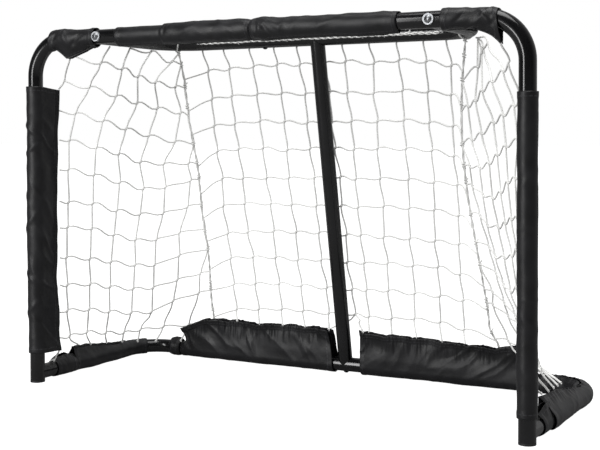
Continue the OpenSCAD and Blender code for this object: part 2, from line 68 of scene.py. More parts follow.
# ---------- places on the frame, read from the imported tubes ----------

FRONT_LOW, FRONT_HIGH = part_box("front_tube_left")
BASE_LOW, BASE_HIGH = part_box("base_tube_left")
TOP_LOW, TOP_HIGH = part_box("top_tube_left")
PANEL_LOW, PANEL_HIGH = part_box("rear_panel_left")
TUBE_R = (BASE_HIGH.z - BASE_LOW.z) / 2
HALF_W = -BASE_LOW.x - TUBE_R
BASE_Z = (BASE_HIGH.z + BASE_LOW.z) / 2
TOP_Z = FRONT_HIGH.z - TUBE_R
FRONT_Y = FRONT_LOW.y + TUBE_R
BACK_Y = BASE_HIGH.y - TUBE_R
TOP_Y = TOP_HIGH.y - TUBE_R
SCREW_X = -TOP_LOW.x - TUBE_R
CORNER_R = 55 * MM  # bend radii of the tubes' centre lines: front, base and top
BASE_CORNER_R = 50 * MM
TOP_CORNER_R = 60 * MM
PANEL_OUT = -PANEL_LOW.x
PANEL_IN = -PANEL_HIGH.x

# The back leans with the brace
LEAN = math.atan2(BACK_Y - TOP_Y, TOP_Z - BASE_Z)
UP_BACK = Vector((0, -math.sin(LEAN), math.cos(LEAN)))
OUT_BACK = Vector((0, math.cos(LEAN), math.sin(LEAN)))

POST_FLAP_TURN = math.radians(34)  # from straight back, towards the middle


def back_at(x, rise, out):
    """A place in the leaning plane of the back: rise up the lean, out from the tube centres."""
    return Vector((x, BACK_Y, BASE_Z)) + rise * UP_BACK + out * OUT_BACK


def mix(a, b, share):
    return a + (b - a) * share


def clamp(value, low=0.0, high=1.0):
    return max(low, min(high, value))


def smooth(value, low, high):
    """0 below low, 1 above high, and an even curve between."""
    share = clamp((value - low) / (high - low))
    return share * share * (3 - 2 * share)


def steps(value, stops):
    """Straight-line value between stops, a list of (place, value) pairs in rising order."""
    for (here, low), (there, high) in zip(stops, stops[1:]):
        if value <= there:
            return mix(low, high, clamp((value - here) / (there - here)))
    return stops[-1][1]


def along(points, share):
    """The place at a share of a polyline's length."""
    lengths = [(b - a).length for a, b in zip(points, points[1:])]
    left = clamp(share) * sum(lengths)
    for a, b, length in zip(points, points[1:], lengths):
        if left <= length:
            return mix(a, b, left / length)
        left -= length
    return points[-1].copy()


def path_length(points):
    return sum((b - a).length for a, b in zip(points, points[1:]))


def ripple(x, y, seed):
    """Smooth noise of about -1 to 1 over a flat cloth."""
    return noise.noise(Vector((x, y, seed * 7.31)))


def folds(x, y, seed):
    """Height from 0 to 1 of a loose cloth's folds: soft dents, and slanting ridges that start
    and end in them."""
    slope = 0.8 if seed % 2 else -0.8
    height = 0.4 + 0.8 * ripple(x / 0.04, (y - 0.5 * slope * x) / 0.06, seed)
    wander = 0.6 * ripple(x / 0.05, y / 0.07, seed + 2)
    for lean, wide, high in ((slope, 0.034, 0.34), (-0.4 * slope, 0.05, 0.2)):
        wave = ripple((y - lean * x) / wide + wander, x / 0.09, seed + wide * 90)
        height += high * max(0, 1 - abs(wave - 0.12) / 0.28) ** 1.3
    return clamp(height)


# ---------- materials ----------


def srgb(text):
    """Linear colour of a hex sRGB colour."""
    parts = [int(text[i:i + 2], 16) / 255 for i in (0, 2, 4)]
    return [p / 12.92 if p <= 0.04045 else ((p + 0.055) / 1.055) ** 2.4 for p in parts]


def add_node(tree, kind, inputs=None, **settings):
    """Adds a node with its settings. An input is a plain value, or an output to link to it."""
    made = tree.nodes.new(kind)
    for name, value in settings.items():
        setattr(made, name, value)
    for name, value in (inputs or {}).items():
        if isinstance(value, bpy.types.NodeSocket):
            tree.links.new(value, made.inputs[name])
        else:
            made.inputs[name].default_value = value
    return made


def clear_tree(owner):
    """Turns nodes on for a material or a world, and gives its empty tree."""
    owner.use_nodes = True
    owner.node_tree.nodes.clear()
    return owner.node_tree


def new_material(name, **inputs):
    """A material with these inputs on its principled shader. Gives the material, its tree, the
    shader, and the place on the piece that patterns follow."""
    material = bpy.data.materials.new(name)
    tree = clear_tree(material)
    shader = add_node(tree, "ShaderNodeBsdfPrincipled", inputs)
    add_node(tree, "ShaderNodeOutputMaterial", {"Surface": shader.outputs[0]})
    return material, tree, shader, add_node(tree, "ShaderNodeTexCoord").outputs["Object"]


def ramp(tree, factor, low, high, dark, light):
    """Blends from dark to light as factor goes from low to high."""
    made = add_node(tree, "ShaderNodeMapRange", {0: factor, 1: low, 2: high})
    return add_node(tree, "ShaderNodeMix", {0: made.outputs[0], 6: (*dark, 1), 7: (*light, 1)},
                    data_type="RGBA").outputs[2]


def set_surface(tree, shader, pattern, colour, smoothest, roughest):
    """Links a colour, and a roughness that follows a noise pattern's middle values."""
    rough = add_node(tree, "ShaderNodeMapRange",
                     {0: pattern, 1: 0.3, 2: 0.7, 3: smoothest, 4: roughest})
    tree.links.new(rough.outputs[0], shader.inputs["Roughness"])
    tree.links.new(colour, shader.inputs["Base Color"])


def gloss_black_enamel():
    """Stoved black enamel on drawn steel tube: wet-looking black, a faint orange peel that
    breaks the highlights up, and dull rub marks."""
    settings = bpy.context.scene.goal_frame
    material, tree, shader, place = new_material("gloss_black_enamel", IOR=1.52)
    peel = add_node(tree, "ShaderNodeTexNoise", {"Vector": place, "Scale": 1 / settings.peel,
                                                 "Detail": 0.0})
    rub = add_node(tree, "ShaderNodeTexNoise", {"Vector": place, "Scale": 1 / (40 * MM),
                                                "Detail": 1.0})
    black = ramp(tree, rub.outputs[0], 0.35, 0.7, srgb("070708"), srgb("0d0d0f"))
    set_surface(tree, shader, rub.outputs[0], black, 0.15, 0.21)
    bump = add_node(tree, "ShaderNodeBump", {"Height": peel.outputs[0], "Strength": 0.1,
                                             "Distance": 0.05 * MM})
    tree.links.new(bump.outputs[0], shader.inputs["Normal"])
    return material


def moulded_black_plastic():
    """Injection moulded polypropylene: satin black with a fine spark-eroded grain."""
    material, tree, shader, place = new_material("moulded_black_plastic", IOR=1.49)
    grain = add_node(tree, "ShaderNodeTexNoise", {"Vector": place, "Scale": 1 / (0.8 * MM),
                                                  "Detail": 3.0})
    black = ramp(tree, grain.outputs[0], 0.3, 0.7, srgb("161617"), srgb("222224"))
    set_surface(tree, shader, grain.outputs[0], black, 0.42, 0.58)
    bump = add_node(tree, "ShaderNodeBump", {"Height": grain.outputs[0], "Strength": 0.2,
                                             "Distance": 0.1 * MM})
    tree.links.new(bump.outputs[0], shader.inputs["Normal"])
    return material


def bright_zinc_plate():
    """Zinc plated steel: a soft grey mirror, cloudy from the plating bath."""
    material, tree, shader, place = new_material("bright_zinc_plate", Metallic=1.0)
    cloud = add_node(tree, "ShaderNodeTexNoise", {"Vector": place, "Scale": 1 / (4 * MM),
                                                  "Detail": 4.0})
    grey = ramp(tree, cloud.outputs[0], 0.3, 0.7, srgb("8c8e91"), srgb("a8aaac"))
    set_surface(tree, shader, cloud.outputs[0], grey, 0.36, 0.48)
    return material


def black_oxide_steel():
    """Blackened steel: dark, half metallic, oily, brighter where it has been handled."""
    material, tree, shader, place = new_material("black_oxide_steel", Metallic=0.6)
    wear = add_node(tree, "ShaderNodeTexNoise", {"Vector": place, "Scale": 1 / (3 * MM),
                                                 "Detail": 5.0})
    black = ramp(tree, wear.outputs[0], 0.4, 0.75, srgb("161618"), srgb("303134"))
    set_surface(tree, shader, wear.outputs[0], black, 0.3, 0.45)
    return material


def woven_nylon():
    """Coated black nylon, plain weave: matt with a slight sheen, finely creased, with a
    lock-stitched line beside each sewn edge. Its colour carries painted shade in the folds of
    the creases and painted light on their ridges. Threads are drawn at twice their real pitch,
    so that they show."""
    settings = bpy.context.scene.goal_cloth
    material, tree, shader, place = new_material("woven_black_nylon", **{
        "IOR": 1.45, "Sheen Weight": 0.04, "Sheen Roughness": 0.4,
        "Sheen Tint": (*srgb("9c9ca2"), 1)})
    flat = add_node(tree, "ShaderNodeUVMap", uv_map="cloth").outputs[0]
    threads = [add_node(tree, "ShaderNodeTexWave",
                        {"Vector": flat, "Scale": math.pi / (10 * settings.thread)},
                        wave_type="BANDS", bands_direction=axis).outputs[1] for axis in "XY"]
    weave = add_node(tree, "ShaderNodeMath", {0: threads[0], 1: threads[1]}, operation="MULTIPLY")
    crumple = add_node(tree, "ShaderNodeTexNoise", {"Vector": place, "Scale": 1 / (26 * MM),
                                                    "Detail": 3.0, "Roughness": 0.4,
                                                    "Distortion": 0.5})
    edge = add_node(tree, "ShaderNodeAttribute", attribute_name="hem").outputs["Fac"]
    run = add_node(tree, "ShaderNodeAttribute", attribute_name="run").outputs["Fac"]
    line = add_node(tree, "ShaderNodeMath", {0: edge, 1: settings.stitch_line, 2: 0.5 * MM},
                    operation="COMPARE")
    dash = add_node(tree, "ShaderNodeMath", {0: run, 1: settings.stitch}, operation="PINGPONG")
    gap = add_node(tree, "ShaderNodeMath", {0: dash.outputs[0], 1: 0.25 * settings.stitch},
                   operation="GREATER_THAN")
    stitch = add_node(tree, "ShaderNodeMath", {0: line.outputs[0], 1: gap.outputs[0]},
                      operation="MULTIPLY")
    # Painted shade and painted light: the nylon is darker in the dents of the crumple pattern and
    # lighter on its ridges, following the same height that bumps the creases below
    cloth = ramp(tree, crumple.outputs[0], 0.3, 0.7, settings.colour, settings.ridge_lit_colour)
    tint = add_node(tree, "ShaderNodeMix", {0: stitch.outputs[0], 6: cloth,
                                            7: (*srgb("2a2a2d"), 1)}, data_type="RGBA")
    set_surface(tree, shader, crumple.outputs[0], tint.outputs[2], 0.4, 0.52)
    creased = add_node(tree, "ShaderNodeBump", {"Height": crumple.outputs[0], "Strength": 0.4,
                                                "Distance": 2.5 * MM})
    woven = add_node(tree, "ShaderNodeBump", {"Height": weave.outputs[0], "Strength": 0.25,
                                              "Distance": 0.1 * MM, "Normal": creased.outputs[0]})
    sewn = add_node(tree, "ShaderNodeBump", {"Height": stitch.outputs[0], "Strength": 0.6,
                                             "Distance": 0.4 * MM, "Normal": woven.outputs[0]})
    tree.links.new(sewn.outputs[0], shader.inputs["Normal"])
    return material


def braided_cord(name, colour, pitch):
    """Braided white polyester: matt fibres, crossing strands at the given pitch."""
    material, tree, shader, place = new_material(
        name, **{"Roughness": 0.8, "IOR": 1.5, "Sheen Weight": 0.2})
    length = add_node(tree, "ShaderNodeAttribute", attribute_name="run").outputs["Fac"]
    around = add_node(tree, "ShaderNodeAttribute", attribute_name="around")
    split = add_node(tree, "ShaderNodeSeparateXYZ", {0: around.outputs["Vector"]}).outputs
    turn = add_node(tree, "ShaderNodeMath", {0: length, 1: 2 * math.pi / pitch},
                    operation="MULTIPLY").outputs[0]
    wave = [add_node(tree, "ShaderNodeMath", {0: turn}, operation=kind).outputs[0]
            for kind in ("COSINE", "SINE")]
    parts = [add_node(tree, "ShaderNodeMath", {0: split[i], 1: wave[i]},
                      operation="MULTIPLY").outputs[0] for i in (0, 1)]
    left = add_node(tree, "ShaderNodeMath", {0: parts[0], 1: parts[1]}, operation="ADD")
    right = add_node(tree, "ShaderNodeMath", {0: parts[0], 1: parts[1]}, operation="SUBTRACT")
    braid = add_node(tree, "ShaderNodeMath", {0: left.outputs[0], 1: right.outputs[0]},
                     operation="MAXIMUM")
    fibre = add_node(tree, "ShaderNodeTexNoise", {"Vector": place, "Scale": 1 / (0.7 * MM),
                                                  "Detail": 3.0})
    soil = add_node(tree, "ShaderNodeTexNoise", {"Vector": place, "Scale": 1 / (60 * MM)})
    dark = [0.8 * c for c in colour]
    tree.links.new(ramp(tree, soil.outputs[0], 0.35, 0.65, dark, colour),
                   shader.inputs["Base Color"])
    bump = add_node(tree, "ShaderNodeBump", {"Height": braid.outputs[0], "Strength": 0.5,
                                             "Distance": 0.3 * MM})
    fuzz = add_node(tree, "ShaderNodeBump", {"Height": fibre.outputs[0], "Strength": 0.3,
                                             "Distance": 0.1 * MM, "Normal": bump.outputs[0]})
    tree.links.new(fuzz.outputs[0], shader.inputs["Normal"])
    return material


def material_named(name, make):
    """The material of that name, made when it is first asked for."""
    return bpy.data.materials.get(name) or make()


def nylon():
    return material_named("woven_black_nylon", woven_nylon)


def net_cord():
    colour = bpy.context.scene.goal_net.colour
    return material_named("braided_net_cord",
                          lambda: braided_cord("braided_net_cord", colour, 4 * MM))


def lacing_cord():
    colour = bpy.context.scene.goal_net.lacing_colour
    return material_named("braided_lacing_cord",
                          lambda: braided_cord("braided_lacing_cord", colour, 5 * MM))


# ---------- making pieces ----------


def add_piece(name, data, material):
    """Links a finished piece to the scene. It stands for the node of its own name."""
    piece = bpy.data.objects.new(name, data)
    bpy.context.scene.collection.objects.link(piece)
    data.materials.append(material)
    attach(piece, "root")
    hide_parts(name)
    return piece


def cloth(name, width, length, cells, place, held, rests_on):
    """A sleeve of sewn nylon: place(u, v) is where the flat cloth's point goes, with u across
    the width and v along the length, both from 0 to 1."""
    settings = bpy.context.scene.goal_cloth
    mesh = bmesh.new()
    flat = mesh.loops.layers.uv.new("cloth")
    hem = mesh.verts.layers.float.new("hem")
    run = mesh.verts.layers.float.new("run")
    bmesh.ops.create_grid(mesh, x_segments=cells[0], y_segments=cells[1], size=0.5,
                          calc_uvs=True)
    for face in mesh.faces:
        for loop in face.loops:
            share = loop[flat].uv
            loop[flat].uv = (share.x * width, share.y * length)
    for vert in mesh.verts:
        u = clamp(vert.co.x + 0.5)
        v = clamp(vert.co.y + 0.5)
        across = min(u, 1 - u) * width
        ends = min(v, 1 - v) * length
        vert[hem] = min(across, ends)
        vert[run] = u * width if ends < across else v * length
        vert.co = place(u, v)
    for face in mesh.faces:
        face.smooth = True
    data = bpy.data.meshes.new(name)
    mesh.to_mesh(data)
    mesh.free()
    piece = add_piece(name, data, nylon())
    shell = piece.modifiers.new("thickness", "SOLIDIFY")
    shell.thickness = settings.thickness
    shell.offset = 0
    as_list(rests_on)
    return piece


def outline(share, radius, reach, hem, half):
    """A point of a sleeve's cross-section, from one sewn edge round the tube to the other,
    and the direction that it faces. The first number points towards the flap's edge."""
    tip = max(reach - hem, radius * 1.0005)
    turn = math.acos(radius / tip)
    slope = math.sqrt(tip * tip - radius * radius)
    arc = (math.pi - turn) * radius
    side = -1 if share < 0.5 else 1
    gone = abs(2 * share - 1) * (arc + slope + hem)
    if gone <= arc:
        angle = math.pi - gone / radius
        facing = (math.cos(angle), side * math.sin(angle))
        return (radius * facing[0], radius * facing[1]), facing
    facing = (math.cos(turn), side * math.sin(turn))
    if gone <= arc + slope:
        step = (gone - arc) / slope
        across = mix(radius * facing[1], side * half, step)
        return (mix(radius * facing[0], tip, step), across), facing
    return (tip + gone - arc - slope, side * half), (0, side)


def outline_length(radius, reach, hem):
    """Length of that cross-section, from one sewn edge to the other."""
    tip = max(reach - hem, radius * 1.0005)
    turn = math.acos(radius / tip)
    slope = math.sqrt(tip * tip - radius * radius)
    return 2 * ((math.pi - turn) * radius + slope + hem)


HEM_RISE = 0.35 * MM  # how far the doubled cloth of an end hem stands out
FLAP_HALF = 0.8 * MM  # half the distance between a flap's two layers


def sleeve(name, path, length, cells, reach, radius=None, slack=None, seed=0.0, pleat=0.0,
           creases=(), skew=None, hem=7 * MM, held="gathered", rests_on=(), sway=0.0):
    """A nylon sleeve along a path. path(d) gives, at a distance, the tube's centre and the
    directions of the flap and across it. reach(d), radius(d) and slack(d, share) shape the
    section, pleat is the height of the gathers at the sewn edge, sway how far the flap waves
    sideways, and skew(share, v) moves the cut ends. creases are fold lines, each with its
    distance, share, angle, depth, width and length."""
    settings = bpy.context.scene.goal_cloth
    close = TUBE_R + settings.gap
    radius = radius or (lambda d: close)
    slack = slack or (lambda d, share: 1.5 * MM)
    width = outline_length(radius(length / 2), max(reach(length * k / 8) for k in range(9)), hem)

    def place(u, v):
        d = v * length
        r = radius(d)
        flap = max(reach(d), r * 1.002)
        sewn = hem if flap - hem > r else 0.0
        edge = smooth(abs(2 * u - 1), 0.55, 1.0)
        press = slack(d, u) * folds(u * width, d, seed)
        gather = pleat * clamp(0.6 + 1.2 * ripple(d / (22 * MM), 0, seed + 4), 0.15)
        press += gather * edge * (0.5 + ripple(d / (4 * MM), 3 * u, seed + 1))
        press += HEM_RISE * (1 - smooth(min(v, 1 - v) * length, 7 * MM, 9 * MM))
        for at, share, angle, depth, wide, long in creases:
            x = (u - share) * width
            y = d - at
            off = y * math.cos(angle) - x * math.sin(angle)
            on = x * math.cos(angle) + y * math.sin(angle)
            if abs(on) < long:
                fade = math.cos(0.5 * math.pi * on / long)
                press += depth * fade * math.exp(-(off / wide) ** 2)
        (a, b), facing = outline(u, r, flap, sewn, FLAP_HALF)
        a += press * facing[0]
        b += press * facing[1]
        wave = ripple(a / (30 * MM), d / (45 * MM), seed + 9)
        b += 2 * sway * wave * smooth(a, r, max(flap, r + 1 * MM))
        size = math.hypot(a, b)
        if size < close:
            a *= close / size
            b *= close / size
        centre, toward, across = path(d + (skew(u, v) if skew else 0))
        spot = centre + a * toward + b * across
        spot.z = max(spot.z, 0.6 * settings.thickness)  # the cloth rests on the floor
        return spot

    return cloth(name, width, length, cells, place, held, rests_on)


def fold_lines(lines):
    """Fold lines for a sleeve, from lengths in mm."""
    return [(at * MM, share, turn, deep * MM, wide * MM, long * MM)
            for at, share, turn, deep, wide, long in lines]


def add_cord(curve, stops, thick=1.0):
    """Adds one cord to a curve, through stops of (point, handle before, handle after)."""
    spline = curve.splines.new("BEZIER")
    spline.bezier_points.add(len(stops) - 1)
    for bezier, (point, before, after) in zip(spline.bezier_points, stops):
        bezier.co = point
        bezier.handle_left = before
        bezier.handle_right = after
        bezier.radius = thick


def even(points):
    """Stops with smooth handles through plain points."""
    stops = []
    last = len(points) - 1
    for i, point in enumerate(points):
        ahead = points[min(i + 1, last)]
        behind = points[max(i - 1, 0)]
        lean = (ahead - behind).normalized()
        stops.append((point, point - lean * (point - behind).length / 3,
                      point + lean * (ahead - point).length / 3))
    return stops


CORD_SIDES = 6


def new_curve(name, diameter, smoothness=5):
    """An empty curve that draws its lines as round cords."""
    curve = bpy.data.curves.new(name, "CURVE")
    curve.dimensions = "3D"
    curve.bevel_depth = diameter / 2
    curve.bevel_resolution = 1  # CORD_SIDES round the cord
    curve.resolution_u = smoothness
    curve.use_fill_caps = True
    return curve


def cord_piece(name, curve, material):
    """Turns a curve of cords into one mesh that knows the place along and around its cords."""
    drawn = bpy.data.objects.new(name + "_line", curve)
    bpy.context.scene.collection.objects.link(drawn)
    depsgraph = bpy.context.evaluated_depsgraph_get()
    data = bpy.data.meshes.new_from_object(drawn.evaluated_get(depsgraph))
    bpy.data.objects.remove(drawn)
    data.name = name
    data.materials.clear()
    count = len(data.vertices)
    points = np.empty(count * 3, np.float32)
    data.vertices.foreach_get("co", points)
    rings = points.reshape(-1, CORD_SIDES, 3).mean(1)
    run = np.concatenate([[0.0], np.cumsum(np.linalg.norm(np.diff(rings, axis=0), axis=1))])
    turn = 2 * math.pi * (np.arange(count) % CORD_SIDES) / CORD_SIDES
    around = np.stack([np.cos(turn), np.sin(turn), np.zeros(count)], 1)
    data.attributes.new("run", "FLOAT", "POINT").data.foreach_set(
        "value", np.repeat(run, CORD_SIDES).astype(np.float32))
    data.attributes.new("around", "FLOAT_VECTOR", "POINT").data.foreach_set(
        "vector", around.astype(np.float32).ravel())
    for face in data.polygons:
        face.use_smooth = True
    return add_piece(name, data, material)


# ---------- the knotted net ----------

KNOT_RISE = 1.3 * MM  # half the height of a knot
KNOT_RUN = 0.9 * MM  # half its width
# How far a cord bends from where it is tied, as a share of the step to the next knot
END_BEND = 0.34
ROW_BEND = 0.4
COLUMN_BEND = 0.18


def knot_ends(point, forward):
    """Lower and upper end of a knot: cords from behind and below meet the lower one."""
    half = KNOT_RUN * forward + KNOT_RISE * UP
    return point - half, point + half


def level(forward):
    """A row's direction with its slope taken out."""
    return Vector((forward.x, forward.y, forward.z * 0.25)).normalized()


def net_line(curve, points, reach, at_knot):
    """One row or column of the net. From the steps behind and ahead of a knot, at_knot gives
    the knot's direction and the cord's directions as it comes and goes. The cord meets the
    knot's lower end and leaves the upper one, and reach is how much of a step it bends over."""
    stops = []
    last = len(points) - 1
    for i, point in enumerate(points):
        ahead = points[min(i + 1, last)] - point
        behind = point - points[max(i - 1, 0)]
        if i == 0:
            stops.append((point, point, point + ahead * END_BEND))
        elif i == last:
            stops.append((point, point - behind * END_BEND, point))
        else:
            forward, coming, going = at_knot(behind, ahead)
            low, high = knot_ends(point, forward)
            stops.append((low, low - coming * behind.length * reach, mix(low, high, 0.3)))
            stops.append((high, mix(low, high, 0.7), high + going * ahead.length * reach))
    add_cord(curve, stops)


def row_cord(curve, points, droop):
    """One row: each cord leaves a knot from its upper end, and meets the next from below."""
    def at_knot(behind, ahead):
        forward = level(ahead + behind)
        return forward, forward + droop * UP, forward + droop * UP

    net_line(curve, points, ROW_BEND, at_knot)


def column_cord(curve, points, forward):
    """One column, from the bottom up, slightly bent at each knot."""
    net_line(curve, points, COLUMN_BEND, lambda behind, ahead: (
        forward, behind.normalized() + UP, ahead.normalized() + UP))


def knot(curve, point, forward, draw):
    """A mesh knot: one and a half turns of cord round the crossing."""
    low, high = knot_ends(point, forward)
    axis = (high - low).normalized()
    out = axis.cross(forward).normalized()
    side = out.cross(axis)
    start = draw.uniform(0, 2 * math.pi)
    turns = []
    for k in range(6):
        angle = start + k * math.radians(105)
        size = (1.15 + 0.25 * draw.random()) * MM
        turns.append(mix(low, high, k / 5) + size * (math.cos(angle) * out
                                                     + math.sin(angle) * side))
    add_cord(curve, even(turns), 0.8)


def net_piece(name, rows, columns, draw, feet=()):
    """A net from its rows and columns of points. Inner points of the rows are knotted, and
    feet are tied to the cloth below them."""
    settings = bpy.context.scene.goal_net
    curve = new_curve(name, settings.cord)
    knots = {}
    for row in rows:
        droop = settings.droop * draw.uniform(0.6, 1.4)
        row_cord(curve, row, droop)
        for before, point, after in zip(row, row[1:], row[2:]):
            knots[tuple(point)] = (point, level(after - before))
    for column in columns:
        inner = [knots[tuple(p)][1] for p in column if tuple(p) in knots]
        column_cord(curve, column, inner[len(inner) // 2] if inner else Vector((1, 0, 0)))
    for point, forward in knots.values():
        knot(curve, point, forward, draw)
    for point in feet:
        sewn_loop(curve, point, Vector((1, 0, 0)), 1.3 * MM, draw)
    return cord_piece(name, curve, net_cord())


def stray(draw, size):
    """A small offset, the same every run."""
    return Vector([draw.uniform(-size, size) for _ in range(3)])


# Height of the rear panels' hems over the bar's centre, by distance from the middle, in mm
HEMS = {"left": [(26, 56), (60, 57), (163, 55), (236, 57), (250, 57), (264, 52), (274, 48),
                 (290, 42), (311, 37)],
        "right": [(26, 57), (33, 56.5), (110, 55.5), (155, 53), (205, 51.5), (250, 50.5),
                  (275, 55), (290, 55), (311, 52)]}


def hem_at(x):
    """A place on the hem of a rear panel."""
    return back_at(x, (steps(abs(x) / MM, HEMS["left" if x < 0 else "right"]) - 2) * MM, 3 * MM)


# The seams run from the rear panels' hems to the underside of the top bends
SEAM_TOP = Vector((240 * MM, 31 * MM, 507 * MM))
# Heights of the seams' knots, in mm
SEAM_KNOTS = (85, 122, 132, 187, 218, 260, 307, 330, 361, 419, 452, 485)


def seam_at(sign, height):
    """The seam's place at a height above the floor. The right one is pulled inwards."""
    foot = hem_at(sign * 241 * MM)
    foot.x = abs(foot.x)
    share = (height - foot.z) / (SEAM_TOP.z - foot.z)
    spot = mix(foot, SEAM_TOP, share)
    if sign > 0:
        bow = bpy.context.scene.goal_net.right_bow
        spot.x -= bow * math.sin(math.pi * clamp((share - 0.1) / 0.9) ** 1.3)
        spot.x += 12 * MM * (1 - smooth(share, 0, 0.07))  # tied farther out at its foot
    else:
        spot.x += MM * (1.5 * math.sin(19 * share) - 6 * math.sin(math.pi * clamp(share)))
    return Vector((sign * spot.x, spot.y, spot.z))


# The side rows from the floor up: height at the post, height at the seam, sag between them,
# and distance of the first knot from the post, all in mm
MIDDLE_ROWS = [(145, 150, 24, 14), (187, 187, 24, 13), (233, 221, 20, 13), (274, 263, 20, 15),
               (322, 303, 22, 12)]
SIDE_ROWS = {"left": [(64, 54, 8, 33), (103, 118, 28, 17), *MIDDLE_ROWS, (368, 329, 12, 14),
                      (413, 360, 5, 26), (457, 406, 3, 40), (491, 450, 3, 38)],
             # The loose sleeve holds the lowest rows higher
             "right": [(70, 76, 8, 22), (113, 130, 14, 15), *MIDDLE_ROWS, (371, 330, 12, 10),
                       (418, 362, 5, 20), (462, 408, 3, 34)]}
# Where the side nets are tied, as (distance from the middle, y, z) in mm. The columns stand in
# the feet and end in the tops, and the upper row, tied back to the seam at upper_end, closes
# the net under the top tube.
SIDE_TIES = {
    "left": {
        "corner": (319, -139, 489), "bead": (352, -113, 458), "upper_end": 487,
        "feet": [(384, -44, 41), (382, -16, 38), (380, 23, 35), (376, 60, 31), (358, 79, 30),
                 (338, 103, 28), (303, 126, 28)],
        "tops": [(262, -116, 507), (262, -67, 507), (258, -18, 505), (246, 20, 490)],
        "upper": [(262, -67, 507), (258, -18, 505), (246, 20, 490)]},
    "right": {
        "corner": (350, -141, 485), "bead": (355, -125, 464), "upper_end": 450,
        "feet": [(375, -55, 44), (375, -25, 42), (374, 2, 41), (373, 24, 40), (371, 46, 39),
                 (352, 92, 33), (324, 124, 30)],
        "tops": [(262, 14, 507), (262, 18, 507), (261, 22, 507), (260, 26, 506)],
        "upper": [(298, -41, 495), (285, -22, 491), (279, -12, 484), (267, 6, 466)]}}
# Rows below SEAM_FOOT end between the seam and the outer end of the rear panel
SEAM_FOOT = 74
PANEL_END = (316, 152, 30)
# Lines that the side nets bulge out to: along the leg low down, and the top tube high up
LEG_LINES = {"left": [(362, -109), (380, -73), (384, 0), (383, 90), (372, 126), (345, 146),
                      (316, 152)],
             "right": [(362, -109), (380, -73), (392, 0), (384, 70), (366, 115), (345, 146),
                       (316, 152)]}
TOP_LINES = {"left": [(319, -139), (264, -117), (262, -60), (262, -14), (240, 34)],
             "right": [(349, -139), (320, -92), (262, -2), (240, 34)]}  # tied far back
# The back net's rows and columns, in mm
BACK_HEIGHTS = (91, 132, 175, 218, 263, 306, 350, 393, 436, 480)
BACK_FEET = (-200, -158, -114, -73, -30, 16, 40, 78, 119, 160, 197)  # X of the lowest knots
MIDDLE_COLUMN = 5  # its foot is tied to the left panel's inner end
BACK_TOPS = (-209, -170, -123, -79, -39, 4, 38, 82, 126, 168, 203)  # X of the highest knots


def place_mm(sign, x, y, z):
    """A place in mm, mirrored to the side that sign gives."""
    return Vector((sign * x, y, z)) * MM


def post_edge(sign, height):
    """A point on the edge of a post sleeve's flap."""
    reach = bpy.context.scene.goal_cloth.post_flap
    return Vector((sign * (HALF_W - reach * math.sin(POST_FLAP_TURN)),
                   FRONT_Y + reach * math.cos(POST_FLAP_TURN), height))


def twist(curve, spots, radius, pitch, draw):
    """Two cords twisted round each other along a line of spots."""
    for start in (0, math.pi):
        points = []
        gone = 0.0
        for i, spot in enumerate(spots):
            ahead = spots[min(i + 1, len(spots) - 1)] - spots[max(i - 1, 0)]
            gone += (spot - spots[i - 1]).length if i else 0
            across = ahead.cross(Vector((0.3, 1, 0.2))).normalized()
            other = ahead.cross(across).normalized()
            angle = start + 2 * math.pi * gone / pitch
            size = radius * draw.uniform(0.9, 1.2)
            points.append(spot + size * (math.cos(angle) * across + math.sin(angle) * other))
        add_cord(curve, even(points))


def tie(curve, point, size, draw):
    """A lacing knot: two loose turns and a short end."""
    points = []
    for k in range(9):
        angle = k * math.radians(85)
        wide = size * draw.uniform(0.8, 1.2)
        points.append(point + Vector((wide * math.cos(angle), wide * math.sin(angle),
                                      (k - 4) * 0.35 * size)))
    points.append(points[-1] + size * Vector((draw.uniform(-1, 1), draw.uniform(-1, 1), 1.2)))
    add_cord(curve, even(points), 0.9)


def sewn_loop(curve, point, along_edge, size, draw):
    """A small loop that ties a cord to a cloth's edge."""
    points = []
    for k in range(5):
        angle = k * math.radians(75) + draw.uniform(-0.2, 0.2)
        points.append(point + size * (math.cos(angle) * along_edge.cross(UP).normalized()
                                      + math.sin(angle) * UP) + (k - 2) * 0.3 * MM * along_edge)
    add_cord(curve, even(points), 0.7)


def side_line(side, front, rear, sag):
    """A side row's path: straight from post to seam, but bulging out to the leg low down and
    to the top tube high up."""
    low, high = ([place_mm(SIDES[side], x, y, 0) for x, y in lines[side]]
                 for lines in (LEG_LINES, TOP_LINES))
    line = []
    for k in range(33):
        u = k / 32
        spot = mix(front, rear, u)
        rise = clamp((spot.z - 42 * MM) / (465 * MM))
        spot += (along(low, u) - mix(low[0], low[-1], u)) * (1 - rise) ** 2.5
        spot += (along(high, u) - mix(high[0], high[-1], u)) * rise ** 3
        spot -= UP * sag * math.sin(math.pi * u ** 1.4) ** 2
        line.append(spot)
    return line


